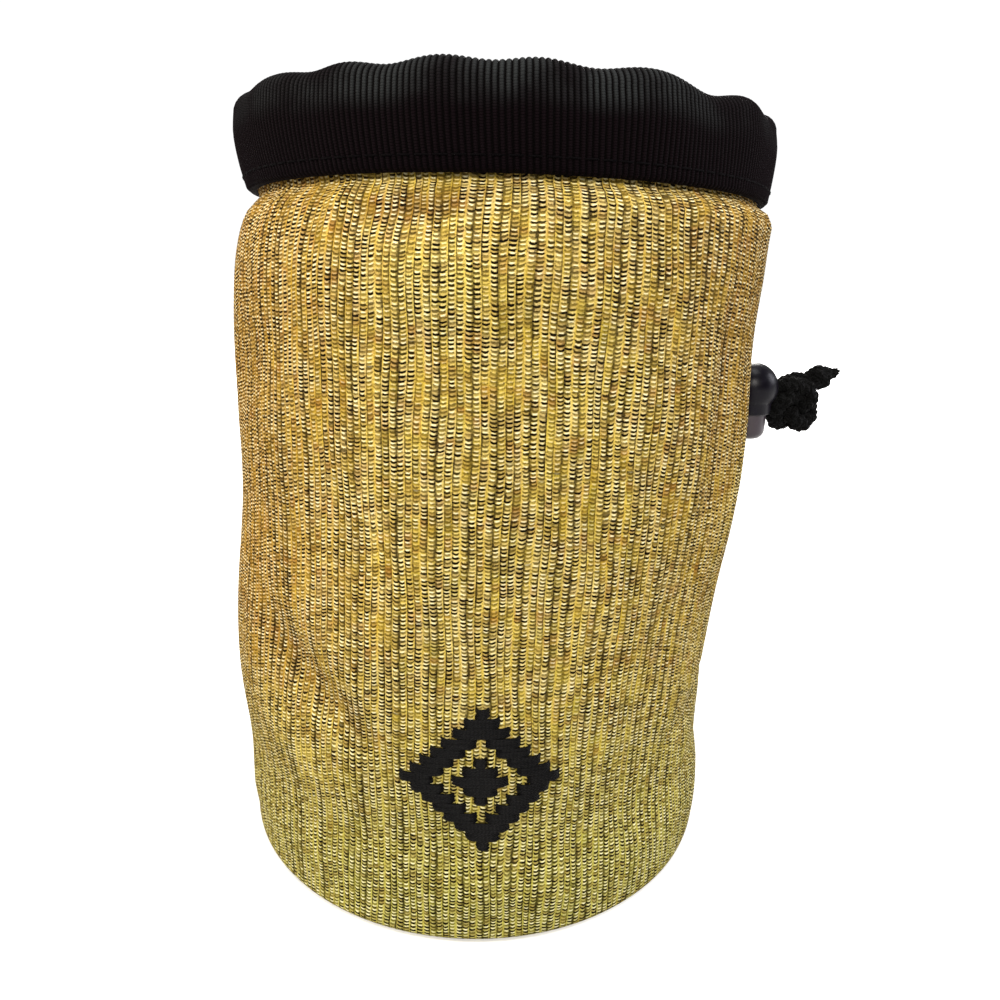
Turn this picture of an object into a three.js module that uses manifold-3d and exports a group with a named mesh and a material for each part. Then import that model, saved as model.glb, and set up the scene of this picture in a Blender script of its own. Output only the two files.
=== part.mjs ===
// A climbing chalk bag: an upright round pouch of ribbed chenille cloth with a webbing binding folded
// over its rim, standing on its base as the photograph shows it.
// Millimetres, +Z up, -Y towards the viewer. The origin is the middle of the base, on the ground.
// Angles round the bag are degrees from the front: 90 is the right side (+X) and 180 the back (+Y).

import * as THREE from 'three';
import { mergeVertices } from 'three/addons/utils/BufferGeometryUtils.js';
import Module from 'manifold-3d';

const wasm = await Module();
wasm.setup();

// Driving dimensions
const BODY_HEIGHT = 148.7;      // ground to the lower edge of the binding
const BODY_RADIUS = 58.5;       // cloth body, outside
const LEAN_RIGHT = 3.4;         // how far the rim's middle stands right of the base's
const LEAN_BACK = 6;            // and behind it
const WALL = 2.4;               // chenille with its brushed inner face
const CORNER = 1.2;             // rounding of the body's bottom edge
const BASE_THICKNESS = 2.4;
const FIT_GAP = 0.3;            // between pieces that touch

// Binding: 38 mm webbing folded in half over the cloth's top edge
const RIM_HEIGHT = 17.5;
const RIM_RADIUS = 59.2;        // where the binding is widest
const WEBBING = 1.8;
const TUCK = 2.4;               // the cloth turns in under the binding over this height
const PUCKER_IN = 1.1;          // how far a full pucker pulls the rim inwards
const PUCKER_DROP = 1.1;        // and pulls its top edge down

// Folds in the body's cloth
const FOLD_DEPTH = 1.5;

// Drawcord channel inside, its eyelet and the cord's free end
const CORD_BELOW_RIM = 42.5;    // the cord leaves the wall this far below the binding
const CORD_ANGLE = 103.7;
const CORD_RADIUS = 2;
const CHANNEL_HEIGHT = 15;
const CHANNEL_THICKNESS = 3;
const CHANNEL_SHOULDER = { up: 0.7, out: 0.75 };    // shares of its half height and its thickness
const EYELET_RADIUS = 5.4;
const EYELET_BARREL = 3.3;
const EYELET_FLANGE = 0.9;

// Cord lock: a ball with a collar below it, which a sprung button slides in
const LOCK_RADIUS = 6.6;
const LOCK_STANDOFF = 10.9;     // wall to the middle of the ball
const COLLAR_RADIUS = 5.3;
const COLLAR_DEPTH = 6.8;       // middle of the ball to the collar's lower face
const BUTTON_RADIUS = 4.35;
const BUTTON_REACH = 13.7;      // middle of the ball to the button's end
const BUTTON_TRAVEL = 2;
const BUTTON_CLEARANCE = 0.25;
const BUTTON_ROUNDING = 2.6;

// Overhand knot: two turns round a ring that swing in and out three times
const KNOT_OUT = 12.8;          // middle of the ball to the middle of the knot
const KNOT_DROP = 4.7;
const KNOT_RING = 4.2;
const KNOT_SWING = 2;
const KNOT_TURNS = 2;
const KNOT_LOBES = 3;
const KNOT_OPENING = 0.35;      // radians of its run left free at each end
const TAIL_OUT = 12.2;          // middle of the knot to the tail's tip
const TAIL_UP = 8.5;

// Belt loop at the back
const LOOP_WIDTH = 25;
const LOOP_HEIGHT = 62;
const LOOP_BELOW_RIM = 18;
const LOOP_SPACE = 6.5;         // room for the belt
const LOOP_THICKNESS = 1.6;

// Embroidered motif: a stepped diamond round a smaller one
const MOTIF_HEIGHT = 38.5;      // ground to its middle
const MOTIF_ANGLE = 3.5;
const MOTIF_STEP = 2.1;
const MOTIF_RAISE = 0.9;
const MOTIF_OUTER = { from: 5, to: 7 };
const MOTIF_INNER = { from: 0, to: 2 };

// Fineness of the meshes
const SIDES = 72;
const BODY_ROWS = 13;
const INNER_ROWS = 4;           // below the drawcord channel
const CORNER_ROWS = 2;
const LEG_ROWS = 3;             // of each leg of the binding
const LOOP_COLUMNS = 6;
const LOCK_SIDES = 24;
const RING_SIDES = 20;
const HOLE_SIDES = 16;
const CORD_SIDES = 10;
const KNOT_SIDES = 8;
const KNOT_POINTS = 18;

// Sections of the bag, from the ground to the rim's top edge. height is a share of BODY_HEIGHT, radius of
// BODY_RADIUS, and right of LEAN_RIGHT.
const SECTIONS = [
  { height: 0.00, radius: 0.991, right: 0.05 },
  { height: 0.03, radius: 0.991, right: 0.15 },
  { height: 0.08, radius: 0.995, right: 0.10 },
  { height: 0.16, radius: 0.982, right: -0.16 },
  { height: 0.28, radius: 1.002, right: -0.41 },
  { height: 0.42, radius: 1.010, right: -0.19 },
  { height: 0.56, radius: 1.019, right: 0.49 },
  { height: 0.70, radius: 1.027, right: 0.69 },
  { height: 0.82, radius: 1.024, right: 0.69 },
  { height: 0.90, radius: 1.024, right: 0.92 },
  { height: 0.95, radius: 1.014, right: 1.18 },
  { height: 0.985, radius: 1.008, right: 1.55 },
  { height: 1.00, radius: 1.000, right: 1.25 },
  { height: 1.12, radius: 1.000, right: 0.95 },
];

// Folds and bulges. angle is in degrees, height a share of BODY_HEIGHT, lean the tilt of the fold's long
// axis from upright in degrees, across and along its half sizes as shares of BODY_RADIUS, and depth a
// share of FOLD_DEPTH, inwards where it is positive.
const FOLDS = [
  { angle: -15, height: 0.962, lean: 88, across: 0.06, along: 0.26, depth: 0.75 },
  { angle: -9, height: 0.890, lean: 80, across: 0.13, along: 0.24, depth: -0.45 },
  { angle: 18, height: 0.930, lean: 84, across: 0.08, along: 0.22, depth: 0.35 },
  { angle: -33, height: 0.365, lean: -56, across: 0.09, along: 0.36, depth: 0.90 },
  { angle: -38, height: 0.245, lean: -50, across: 0.12, along: 0.26, depth: -0.50 },
  { angle: -52, height: 0.780, lean: 60, across: 0.12, along: 0.22, depth: 0.35 },
  { angle: 49, height: 0.770, lean: 2, across: 0.07, along: 0.42, depth: 0.60 },
  { angle: 62, height: 0.600, lean: 14, across: 0.10, along: 0.34, depth: -0.35 },
  { angle: 66, height: 0.270, lean: 74, across: 0.07, along: 0.22, depth: 0.70 },
  { angle: 146, height: 0.480, lean: 66, across: 0.11, along: 0.34, depth: 0.55 },
  { angle: -140, height: 0.640, lean: -62, across: 0.11, along: 0.36, depth: 0.60 },
  { angle: -118, height: 0.300, lean: 58, across: 0.12, along: 0.32, depth: 0.50 },
];

// Outline of the binding's outer face. rise is a share of RIM_HEIGHT and radius of RIM_RADIUS.
const RIM_OUTLINE = [
  { rise: 0.00, radius: 0.974 },
  { rise: 0.30, radius: 0.991 },
  { rise: 0.60, radius: 1.000 },
  { rise: 0.82, radius: 0.993 },
  { rise: 1.00, radius: 0.985 },
];

// Puckers of the binding. width is in degrees and depth a share of PUCKER_IN and PUCKER_DROP.
const PUCKERS = [
  { angle: -58, width: 6, depth: 0.5 },
  { angle: -36, width: 6, depth: 0.8 },
  { angle: -20, width: 6, depth: 1.0 },
  { angle: -2, width: 6, depth: 0.8 },
  { angle: 15, width: 7, depth: 1.1 },
  { angle: 40, width: 9, depth: 1.9 },
  { angle: 62, width: 8, depth: 1.2 },
  { angle: 84, width: 7, depth: 0.7 },
  { angle: 105, width: 7, depth: 1.0 },
  { angle: 127, width: 6, depth: 0.6 },
  { angle: 146, width: 7, depth: 0.9 },
  { angle: 169, width: 7, depth: 0.8 },
  { angle: -171, width: 6, depth: 0.7 },
  { angle: -150, width: 7, depth: 1.0 },
  { angle: -127, width: 7, depth: 0.8 },
  { angle: -104, width: 6, depth: 0.9 },
  { angle: -82, width: 7, depth: 0.6 },
];

// Run of the belt loop from its upper to its lower end. run is a share of LOOP_HEIGHT, and lift says how
// much of the way the webbing stands from the bag's wall, 0, to the belt's far face, 1.
const LOOP_RUN = [
  { run: 0.00, lift: 0 },
  { run: 0.07, lift: 0 },
  { run: 0.14, lift: 0 },
  { run: 0.18, lift: 0.25 },
  { run: 0.24, lift: 0.80 },
  { run: 0.29, lift: 1 },
  { run: 0.71, lift: 1 },
  { run: 0.76, lift: 0.80 },
  { run: 0.82, lift: 0.25 },
  { run: 0.86, lift: 0 },
  { run: 0.93, lift: 0 },
  { run: 1.00, lift: 0 },
];

// Where the cord bends between the lock and the knot: out is a share of the way from the knot's middle to
// the lock, and side and rise are shares of KNOT_SWING
const KNOT_LEAD = { out: 0.5, side: -0.7, rise: 0.3 };

// The knot's tail. out is a share of TAIL_OUT, up of TAIL_UP and side of KNOT_SWING.
const TAIL = [
  { out: 0.05, up: 0.72, side: 1 },
  { out: 0.45, up: 0.78, side: 0.7 },
  { out: 1, up: 1, side: 0.3 },
];

// Sizes worked out from those above
const BINDING = 2 * WEBBING + 2 * FIT_GAP + WALL;
const CORD_HEIGHT = BODY_HEIGHT - CORD_BELOW_RIM;
const CORD_BORE = CORD_RADIUS + FIT_GAP;
const CORD_JOIN = LOCK_RADIUS - CORD_RADIUS;
const CHANNEL_FOOT = CORD_HEIGHT - CHANNEL_HEIGHT / 2;
const CHANNEL_HEAD = CORD_HEIGHT + CHANNEL_HEIGHT / 2;
const FULL_TURN = 360;

const CHENILLE = new THREE.MeshStandardMaterial({ color: 0xac9753, roughness: 0.95, metalness: 0 });
const CHENILLE_BASE = new THREE.MeshStandardMaterial({ color: 0x8f8148, roughness: 0.95, metalness: 0 });
const RIM_WEBBING = new THREE.MeshStandardMaterial({ color: 0x17130f, roughness: 0.8, metalness: 0 });
const LOOP_WEBBING = new THREE.MeshStandardMaterial({ color: 0x1a1614, roughness: 0.8, metalness: 0 });
const CHANNEL_CLOTH = new THREE.MeshStandardMaterial({ color: 0x26221f, roughness: 0.9, metalness: 0 });
const EYELET_METAL = new THREE.MeshStandardMaterial({ color: 0x2b2b2d, roughness: 0.35, metalness: 0.8 });
const LOCK_PLASTIC = new THREE.MeshStandardMaterial({ color: 0x0b0b0e, roughness: 0.25, metalness: 0 });
const BUTTON_PLASTIC = new THREE.MeshStandardMaterial({ color: 0x3a3338, roughness: 0.35, metalness: 0 });
const CORD_YARN = new THREE.MeshStandardMaterial({ color: 0x0d0c0c, roughness: 0.95, metalness: 0 });
const THREAD = new THREE.MeshStandardMaterial({ color: 0x100e0e, roughness: 0.5, metalness: 0 });

// Smooth curve through one column of a table
function fromTable(rows, key, column, at) {
  const last = rows.length - 1;
  if (at <= rows[0][key]) return rows[0][column];
  if (at >= rows[last][key]) return rows[last][column];
  const i = rows.findIndex((row, k) => k > 0 && at <= row[key]) - 1;
  const slope = (k) => {
    const before = rows[Math.max(k - 1, 0)];
    const after = rows[Math.min(k + 1, last)];
    return (after[column] - before[column]) / (after[key] - before[key]);
  };
  const span = rows[i + 1][key] - rows[i][key];
  const t = (at - rows[i][key]) / span;
  const start = (1 + 2 * t) * (1 - t) ** 2 * rows[i][column] + t * (1 - t) ** 2 * span * slope(i);
  const end = t * t * (3 - 2 * t) * rows[i + 1][column] - t * t * (1 - t) * span * slope(i + 1);
  return start + end;
}

// Angle from one direction to another, between -180 and 180 degrees
function turnFrom(a, b) {
  return THREE.MathUtils.euclideanModulo(b - a + FULL_TURN / 2, FULL_TURN) - FULL_TURN / 2;
}

function outward(angle) {
  const a = THREE.MathUtils.degToRad(angle);
  return new THREE.Vector3(Math.sin(a), -Math.cos(a), 0);
}

function wallCentre(height) {
  const share = height / BODY_HEIGHT;
  const right = LEAN_RIGHT * fromTable(SECTIONS, 'height', 'right', share);
  return new THREE.Vector3(right, LEAN_BACK * THREE.MathUtils.clamp(share, 0, 1), height);
}

function foldDepth(angle, height) {
  let depth = 0;
  for (const fold of FOLDS) {
    const round = THREE.MathUtils.degToRad(turnFrom(fold.angle, angle)) * BODY_RADIUS;
    const up = height - fold.height * BODY_HEIGHT;
    const lean = THREE.MathUtils.degToRad(fold.lean);
    const across = (round * Math.cos(lean) - up * Math.sin(lean)) / (fold.across * BODY_RADIUS);
    const along = (round * Math.sin(lean) + up * Math.cos(lean)) / (fold.along * BODY_RADIUS);
    depth += FOLD_DEPTH * fold.depth * Math.exp(-across * across - along * along);
  }
  return depth;
}

function puckerAt(angle) {
  let pull = 0;
  for (const pucker of PUCKERS) {
    pull += pucker.depth * Math.exp(-((turnFrom(pucker.angle, angle) / pucker.width) ** 2));
  }
  return pull;
}

// Radius of the middle of the cloth where the binding covers it
function rimMiddle(angle, height) {
  const rise = THREE.MathUtils.clamp((height - BODY_HEIGHT) / RIM_HEIGHT, 0, 1);
  const outline = RIM_RADIUS * fromTable(RIM_OUTLINE, 'rise', 'radius', rise);
  return outline - BINDING / 2 - PUCKER_IN * puckerAt(angle) * rise;
}

// Top edge of the cloth, where the binding starts to turn over it
function rimSpring(angle) {
  return BODY_HEIGHT + RIM_HEIGHT - BINDING / 2 - PUCKER_DROP * puckerAt(angle);
}

// Outer radius of the cloth
function wallRadius(angle, height) {
  const section = BODY_RADIUS * fromTable(SECTIONS, 'height', 'radius', height / BODY_HEIGHT);
  const open = section - foldDepth(angle, height);
  const covered = rimMiddle(angle, height) + WALL / 2;
  const tucked = THREE.MathUtils.smoothstep(height, BODY_HEIGHT - TUCK, BODY_HEIGHT - FIT_GAP);
  return THREE.MathUtils.lerp(open, covered, tucked);
}

// Point that lies off the cloth's outer face by this much
function onWall(angle, height, off = 0) {
  return wallCentre(height).addScaledVector(outward(angle), wallRadius(angle, height) + off);
}

function geometryOf(points, faces) {
  const geometry = new THREE.BufferGeometry();
  geometry.setAttribute('position', new THREE.Float32BufferAttribute(points.flatMap((p) => p.toArray()), 3));
  geometry.setIndex(faces.flat());
  return geometry;
}

// Closed band round the bag. loopAt gives its cross-section at an angle, from the outer face's foot up
// the outer face, over and down the inner face.
function band(loopAt) {
  const points = [];
  const faces = [];
  const loops = Array.from({ length: SIDES }, (_, i) => loopAt((i * FULL_TURN) / SIDES));
  const count = loops[0].length;
  loops.forEach((loop) => points.push(...loop));
  for (let i = 0; i < SIDES; i++) {
    for (let k = 0; k < count; k++) {
      const a = i * count + k;
      const b = i * count + ((k + 1) % count);
      const c = ((i + 1) % SIDES) * count + ((k + 1) % count);
      const d = ((i + 1) % SIDES) * count + k;
      faces.push([a, d, c], [a, c, b]);
    }
  }
  return geometryOf(points, faces);
}

// Closed slab between an outer and an inner face, each a grid of rows of points
function slab(outer, inner) {
  const rows = outer.length;
  const columns = outer[0].length;
  const points = [...outer.flat(), ...inner.flat()];
  const at = (face, r, c) => face * rows * columns + r * columns + c;
  const faces = [];
  const quad = (a, b, c, d) => faces.push([a, b, c], [a, c, d]);
  for (let r = 0; r + 1 < rows; r++) {
    for (let c = 0; c + 1 < columns; c++) {
      quad(at(0, r, c), at(0, r, c + 1), at(0, r + 1, c + 1), at(0, r + 1, c));
      quad(at(1, r, c), at(1, r + 1, c), at(1, r + 1, c + 1), at(1, r, c + 1));
    }
    quad(at(0, r, 0), at(0, r + 1, 0), at(1, r + 1, 0), at(1, r, 0));
    quad(at(0, r + 1, columns - 1), at(0, r, columns - 1), at(1, r, columns - 1), at(1, r + 1, columns - 1));
  }
  for (let c = 0; c + 1 < columns; c++) {
    quad(at(0, 0, c + 1), at(0, 0, c), at(1, 0, c), at(1, 0, c + 1));
    quad(at(0, rows - 1, c), at(0, rows - 1, c + 1), at(1, rows - 1, c + 1), at(1, rows - 1, c));
  }
  return geometryOf(points, faces);
}

function toSolid(geometry) {
  const bare = geometry.clone();
  bare.deleteAttribute('normal');
  bare.deleteAttribute('uv');
  const merged = mergeVertices(bare, 1e-3);
  return new wasm.Manifold(new wasm.Mesh({
    numProp: 3,
    vertProperties: merged.attributes.position.array,
    triVerts: new Uint32Array(merged.index.array),
  }));
}

function toGeometry(solid) {
  const mesh = solid.getMesh();
  const geometry = new THREE.BufferGeometry();
  geometry.setAttribute('position', new THREE.BufferAttribute(new Float32Array(mesh.vertProperties), 3));
  geometry.setIndex(new THREE.BufferAttribute(new Uint32Array(mesh.triVerts), 1));
  return geometry;
}

// Tube along a curve, with closed ends
function tube(curve, radius, sides, steps) {
  const corners = Array.from({ length: sides }, (_, i) => {
    const a = (i * 2 * Math.PI) / sides;
    return new THREE.Vector2(radius * Math.cos(a), radius * Math.sin(a));
  });
  const section = new THREE.Shape(corners);
  return new THREE.ExtrudeGeometry(section, { steps, bevelEnabled: false, extrudePath: curve });
}

// Cylinder along X between two places
function rodAlongX(radius, from, to, sides) {
  const rod = new THREE.CylinderGeometry(radius, radius, to - from, sides);
  return rod.rotateZ(-Math.PI / 2).translate((from + to) / 2, 0, 0);
}

// Solid of revolution about Z. profile is a list of [radius, z].
function turned(profile, sides) {
  const lathe = new THREE.LatheGeometry(profile.map(([r, z]) => new THREE.Vector2(r, z)), sides);
  return lathe.rotateX(Math.PI / 2);
}

// Body: a cloth tube, open at both ends, whose top edge goes up into the binding
function shellLoop(angle) {
  const loop = [];
  for (let k = 0; k <= CORNER_ROWS; k++) {
    const turn = (k / CORNER_ROWS) * (Math.PI / 2);
    loop.push(onWall(angle, CORNER * (1 - Math.cos(turn)), -CORNER * (1 - Math.sin(turn))));
  }
  for (let k = 1; k <= BODY_ROWS; k++) {
    const height = THREE.MathUtils.lerp(CORNER, BODY_HEIGHT - TUCK, k / BODY_ROWS);
    loop.push(onWall(angle, height));
  }
  loop.push(onWall(angle, BODY_HEIGHT - TUCK / 2));
  loop.push(onWall(angle, BODY_HEIGHT - FIT_GAP));
  loop.push(onWall(angle, BODY_HEIGHT + RIM_HEIGHT / 2));
  loop.push(onWall(angle, rimSpring(angle)));
  loop.push(onWall(angle, rimSpring(angle), -WALL));
  loop.push(onWall(angle, BODY_HEIGHT + RIM_HEIGHT / 2, -WALL));
  loop.push(onWall(angle, BODY_HEIGHT - FIT_GAP, -WALL));
  loop.push(onWall(angle, BODY_HEIGHT - TUCK, -WALL));
  loop.push(onWall(angle, CHANNEL_HEAD, -WALL));
  for (let k = 0; k <= INNER_ROWS; k++) {
    const height = THREE.MathUtils.lerp(CHANNEL_FOOT, 0, k / INNER_ROWS);
    loop.push(onWall(angle, height, -WALL));
  }
  return loop;
}

function shellGeometry() {
  const hole = rodAlongX(EYELET_BARREL + FIT_GAP, -2 * WALL, 2 * WALL, HOLE_SIDES);
  hole.rotateZ(THREE.MathUtils.degToRad(CORD_ANGLE - 90));
  const exit = onWall(CORD_ANGLE, CORD_HEIGHT);
  hole.translate(exit.x, exit.y, exit.z);
  return toGeometry(toSolid(band(shellLoop)).subtract(toSolid(hole)));
}

// Base: a flat round of the same cloth inside the body's lower edge
function baseGeometry() {
  const rim = Array.from({ length: SIDES }, (_, i) => {
    const angle = (i * FULL_TURN) / SIDES;
    const low = onWall(angle, 0, -WALL - FIT_GAP);
    const high = onWall(angle, BASE_THICKNESS, -WALL - FIT_GAP);
    const inner = Math.hypot(low.x, low.y) < Math.hypot(high.x, high.y) ? low : high;
    return new THREE.Vector2(inner.x, inner.y);
  });
  return new THREE.ExtrudeGeometry(new THREE.Shape(rim), { depth: BASE_THICKNESS, bevelEnabled: false });
}

// Binding: webbing folded over the cloth's top edge, as a band with a slot for the cloth
function bindingLoop(angle) {
  const loop = [];
  const spring = rimSpring(angle);
  const legHeights = Array.from({ length: LEG_ROWS + 1 }, (_, k) => {
    return THREE.MathUtils.lerp(BODY_HEIGHT, spring, k / LEG_ROWS);
  });
  const place = (height, off) => {
    const radius = rimMiddle(angle, Math.min(height, spring)) + off;
    return wallCentre(height).addScaledVector(outward(angle), radius);
  };
  for (const height of legHeights) loop.push(place(height, BINDING / 2));
  for (const turn of [45, 90, 135]) {
    const a = THREE.MathUtils.degToRad(turn);
    loop.push(place(spring + (BINDING / 2) * Math.sin(a), (BINDING / 2) * Math.cos(a)));
  }
  for (const height of [...legHeights].reverse()) loop.push(place(height, -BINDING / 2));
  const slot = WALL / 2 + FIT_GAP;
  loop.push(place(BODY_HEIGHT, -slot));
  loop.push(place(BODY_HEIGHT + RIM_HEIGHT / 2, -slot));
  loop.push(place(spring, -slot));
  loop.push(place(spring + slot, 0));
  loop.push(place(spring, slot));
  loop.push(place(BODY_HEIGHT + RIM_HEIGHT / 2, slot));
  loop.push(place(BODY_HEIGHT, slot));
  return loop;
}

// Channel for the drawcord: a plain band of cloth on the body's inner face
function channelLoop(angle) {
  const back = -WALL - FIT_GAP;
  const shoulder = back - CHANNEL_THICKNESS * CHANNEL_SHOULDER.out;
  return [
    onWall(angle, CHANNEL_FOOT, back),
    onWall(angle, CHANNEL_HEAD, back),
    onWall(angle, THREE.MathUtils.lerp(CORD_HEIGHT, CHANNEL_HEAD, CHANNEL_SHOULDER.up), shoulder),
    onWall(angle, CORD_HEIGHT, back - CHANNEL_THICKNESS),
    onWall(angle, THREE.MathUtils.lerp(CORD_HEIGHT, CHANNEL_FOOT, CHANNEL_SHOULDER.up), shoulder),
  ];
}

// Belt loop: a strap of webbing sewn to the back at both ends
function beltLoopGeometry() {
  const top = BODY_HEIGHT - LOOP_BELOW_RIM;
  const wallAt = (x, height) => {
    const centre = wallCentre(height);
    const angle = 180 - THREE.MathUtils.radToDeg(Math.asin((x - centre.x) / wallRadius(180, height)));
    return onWall(angle, height).y;
  };
  const middle = wallCentre(top - LOOP_HEIGHT / 2).x;
  const standing = LOOP_RUN.filter((row) => row.lift === 1);
  const walls = standing.map(({ run }) => wallAt(middle, top - run * LOOP_HEIGHT));
  const beltFace = Math.max(...walls) + LOOP_SPACE;
  const face = (thickness) => LOOP_RUN.map(({ run, lift }) => Array.from({ length: LOOP_COLUMNS }, (_, c) => {
    const x = middle + LOOP_WIDTH * (c / (LOOP_COLUMNS - 1) - 0.5);
    const height = top - run * LOOP_HEIGHT;
    const y = THREE.MathUtils.lerp(wallAt(x, height) + FIT_GAP, beltFace, lift);
    return new THREE.Vector3(x, y + thickness, height);
  }));
  return slab(face(LOOP_THICKNESS), face(0));
}

// Eyelet: a flanged ring through the wall, with its bore along X and its flange on the outside
function eyeletGeometry() {
  const flangeTop = FIT_GAP + EYELET_FLANGE;
  const bevel = EYELET_FLANGE / 2;
  const profile = [
    [CORD_BORE, -WALL],
    [EYELET_BARREL, -WALL],
    [EYELET_BARREL, FIT_GAP],
    [EYELET_RADIUS, FIT_GAP],
    [EYELET_RADIUS, flangeTop - bevel],
    [EYELET_RADIUS - bevel, flangeTop],
    [CORD_BORE + bevel, flangeTop],
    [CORD_BORE, flangeTop - bevel],
    [CORD_BORE, -WALL],
  ];
  return turned(profile, RING_SIDES).rotateY(Math.PI / 2);
}

// Lock body: the ball and its collar, bored across for the cord and from below for the button
function lockBodyGeometry() {
  const bore = BUTTON_RADIUS + BUTTON_CLEARANCE;
  const sphere = new THREE.SphereGeometry(LOCK_RADIUS, LOCK_SIDES, (LOCK_SIDES * 2) / 3);
  const ball = toSolid(sphere.rotateX(Math.PI / 2));
  const collarLength = COLLAR_DEPTH - CORD_RADIUS;
  const collar = new THREE.CylinderGeometry(COLLAR_RADIUS, COLLAR_RADIUS, collarLength, LOCK_SIDES);
  collar.rotateX(Math.PI / 2).translate(0, 0, -COLLAR_DEPTH + collarLength / 2);
  const shaftLength = COLLAR_DEPTH + FIT_GAP - CORD_BORE + BUTTON_CLEARANCE;
  const shaft = new THREE.CylinderGeometry(bore, bore, shaftLength, LOCK_SIDES);
  shaft.rotateX(Math.PI / 2).translate(0, 0, -COLLAR_DEPTH - FIT_GAP + shaftLength / 2);
  const cordHole = toSolid(rodAlongX(CORD_BORE, -2 * LOCK_RADIUS, 2 * LOCK_RADIUS, HOLE_SIDES));
  return toGeometry(ball.add(toSolid(collar)).subtract(toSolid(shaft)).subtract(cordHole));
}

// Button: a round-ended plunger that stops short of the cord when it is pressed in
function buttonGeometry() {
  const top = -CORD_BORE - BUTTON_TRAVEL;
  const end = -BUTTON_REACH;
  const profile = [[0, end]];
  for (const turn of [30, 60, 90]) {
    const a = THREE.MathUtils.degToRad(turn);
    const r = BUTTON_RADIUS - BUTTON_ROUNDING + BUTTON_ROUNDING * Math.sin(a);
    profile.push([r, end + BUTTON_ROUNDING * (1 - Math.cos(a))]);
  }
  profile.push([BUTTON_RADIUS, top], [0, top]);
  return turned(profile, LOCK_SIDES);
}

// Route of the knotted end, from the lock to the tail's tip, about the middle of the knot
function knotRoute() {
  const start = CORD_JOIN + FIT_GAP - KNOT_OUT;
  const neck = LOCK_RADIUS - KNOT_OUT;
  const leadUp = KNOT_DROP + KNOT_SWING * KNOT_LEAD.rise;
  const points = [
    new THREE.Vector3(start, 0, KNOT_DROP),
    new THREE.Vector3((start + neck) / 2, 0, KNOT_DROP),
    new THREE.Vector3(neck, 0, KNOT_DROP),
    new THREE.Vector3(neck * KNOT_LEAD.out, KNOT_SWING * KNOT_LEAD.side, leadUp),
  ];
  for (let k = 0; k <= KNOT_POINTS; k++) {
    const t = THREE.MathUtils.lerp(2 * Math.PI - KNOT_OPENING, KNOT_OPENING, k / KNOT_POINTS);
    const radius = KNOT_RING + KNOT_SWING * Math.cos(KNOT_LOBES * t);
    const turn = Math.PI / 2 + KNOT_TURNS * t;
    const depth = KNOT_SWING * Math.sin(KNOT_LOBES * t);
    points.push(new THREE.Vector3(radius * Math.cos(turn), depth, radius * Math.sin(turn)));
  }
  for (const { out, up, side } of TAIL) {
    points.push(new THREE.Vector3(TAIL_OUT * out, KNOT_SWING * side, TAIL_UP * up));
  }
  return new THREE.CatmullRomCurve3(points);
}

// Part of a curve, between two shares of its length
class Stretch extends THREE.Curve {
  constructor(curve, from, to) {
    super();
    this.curve = curve;
    this.from = from;
    this.to = to;
  }

  getPoint(t, target = new THREE.Vector3()) {
    return this.curve.getPointAt(THREE.MathUtils.lerp(this.from, this.to, t), target);
  }
}

// The knot's tube is joined from stretches that overlap, because its turns press on each other, and from
// a ball that fills its middle
function knotGeometry() {
  const route = knotRoute();
  const stretches = 3;
  const stretchSteps = 10;
  const lap = 0.01;
  let knot = toSolid(new THREE.SphereGeometry(KNOT_RING, HOLE_SIDES, KNOT_SIDES));
  for (let k = 0; k < stretches; k++) {
    const stretch = new Stretch(route, Math.max(k / stretches - lap, 0), (k + 1) / stretches);
    knot = knot.add(toSolid(tube(stretch, CORD_RADIUS, KNOT_SIDES, stretchSteps)));
  }
  return toGeometry(knot);
}

// Motif: a ring of square steps in the flat, wrapped onto the body's wall
function motifGeometry({ from, to }) {
  const filled = (i, j) => {
    const distance = Math.abs(i) + Math.abs(j);
    return distance >= from && distance <= to;
  };
  const degreesAcross = THREE.MathUtils.radToDeg(1 / BODY_RADIUS);
  const place = (i, j, off) => {
    const angle = MOTIF_ANGLE + (i - 0.5) * MOTIF_STEP * degreesAcross;
    return onWall(angle, MOTIF_HEIGHT + (j - 0.5) * MOTIF_STEP, off);
  };
  const points = [];
  const faces = [];
  const quad = (...corners) => {
    const first = points.length;
    points.push(...corners);
    faces.push([first, first + 1, first + 2], [first, first + 2, first + 3]);
  };
  const low = (i, j) => place(i, j, FIT_GAP);
  const high = (i, j) => place(i, j, FIT_GAP + MOTIF_RAISE);
  for (let i = -to; i <= to; i++) {
    for (let j = -to; j <= to; j++) {
      if (!filled(i, j)) continue;
      quad(high(i, j), high(i + 1, j), high(i + 1, j + 1), high(i, j + 1));
      quad(low(i, j), low(i, j + 1), low(i + 1, j + 1), low(i + 1, j));
      if (!filled(i - 1, j)) quad(low(i, j), high(i, j), high(i, j + 1), low(i, j + 1));
      if (!filled(i + 1, j)) quad(high(i + 1, j), low(i + 1, j), low(i + 1, j + 1), high(i + 1, j + 1));
      if (!filled(i, j - 1)) quad(high(i, j), low(i, j), low(i + 1, j), high(i + 1, j));
      if (!filled(i, j + 1)) quad(low(i, j + 1), high(i, j + 1), high(i + 1, j + 1), low(i + 1, j + 1));
    }
  }
  return geometryOf(points, faces);
}

function add(group, name, geometry, material) {
  const mesh = new THREE.Mesh(geometry, material);
  mesh.name = name;
  group.add(mesh);
  return mesh;
}

const bag = new THREE.Group();
add(bag, 'shell', shellGeometry(), CHENILLE);
add(bag, 'base_panel', baseGeometry(), CHENILLE_BASE);
add(bag, 'rim_binding', band(bindingLoop), RIM_WEBBING);
add(bag, 'cord_channel', band(channelLoop), CHANNEL_CLOTH);
add(bag, 'belt_loop', beltLoopGeometry(), LOOP_WEBBING);
add(bag, 'motif_border', motifGeometry(MOTIF_OUTER), THREAD);
add(bag, 'motif_centre', motifGeometry(MOTIF_INNER), THREAD);

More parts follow.
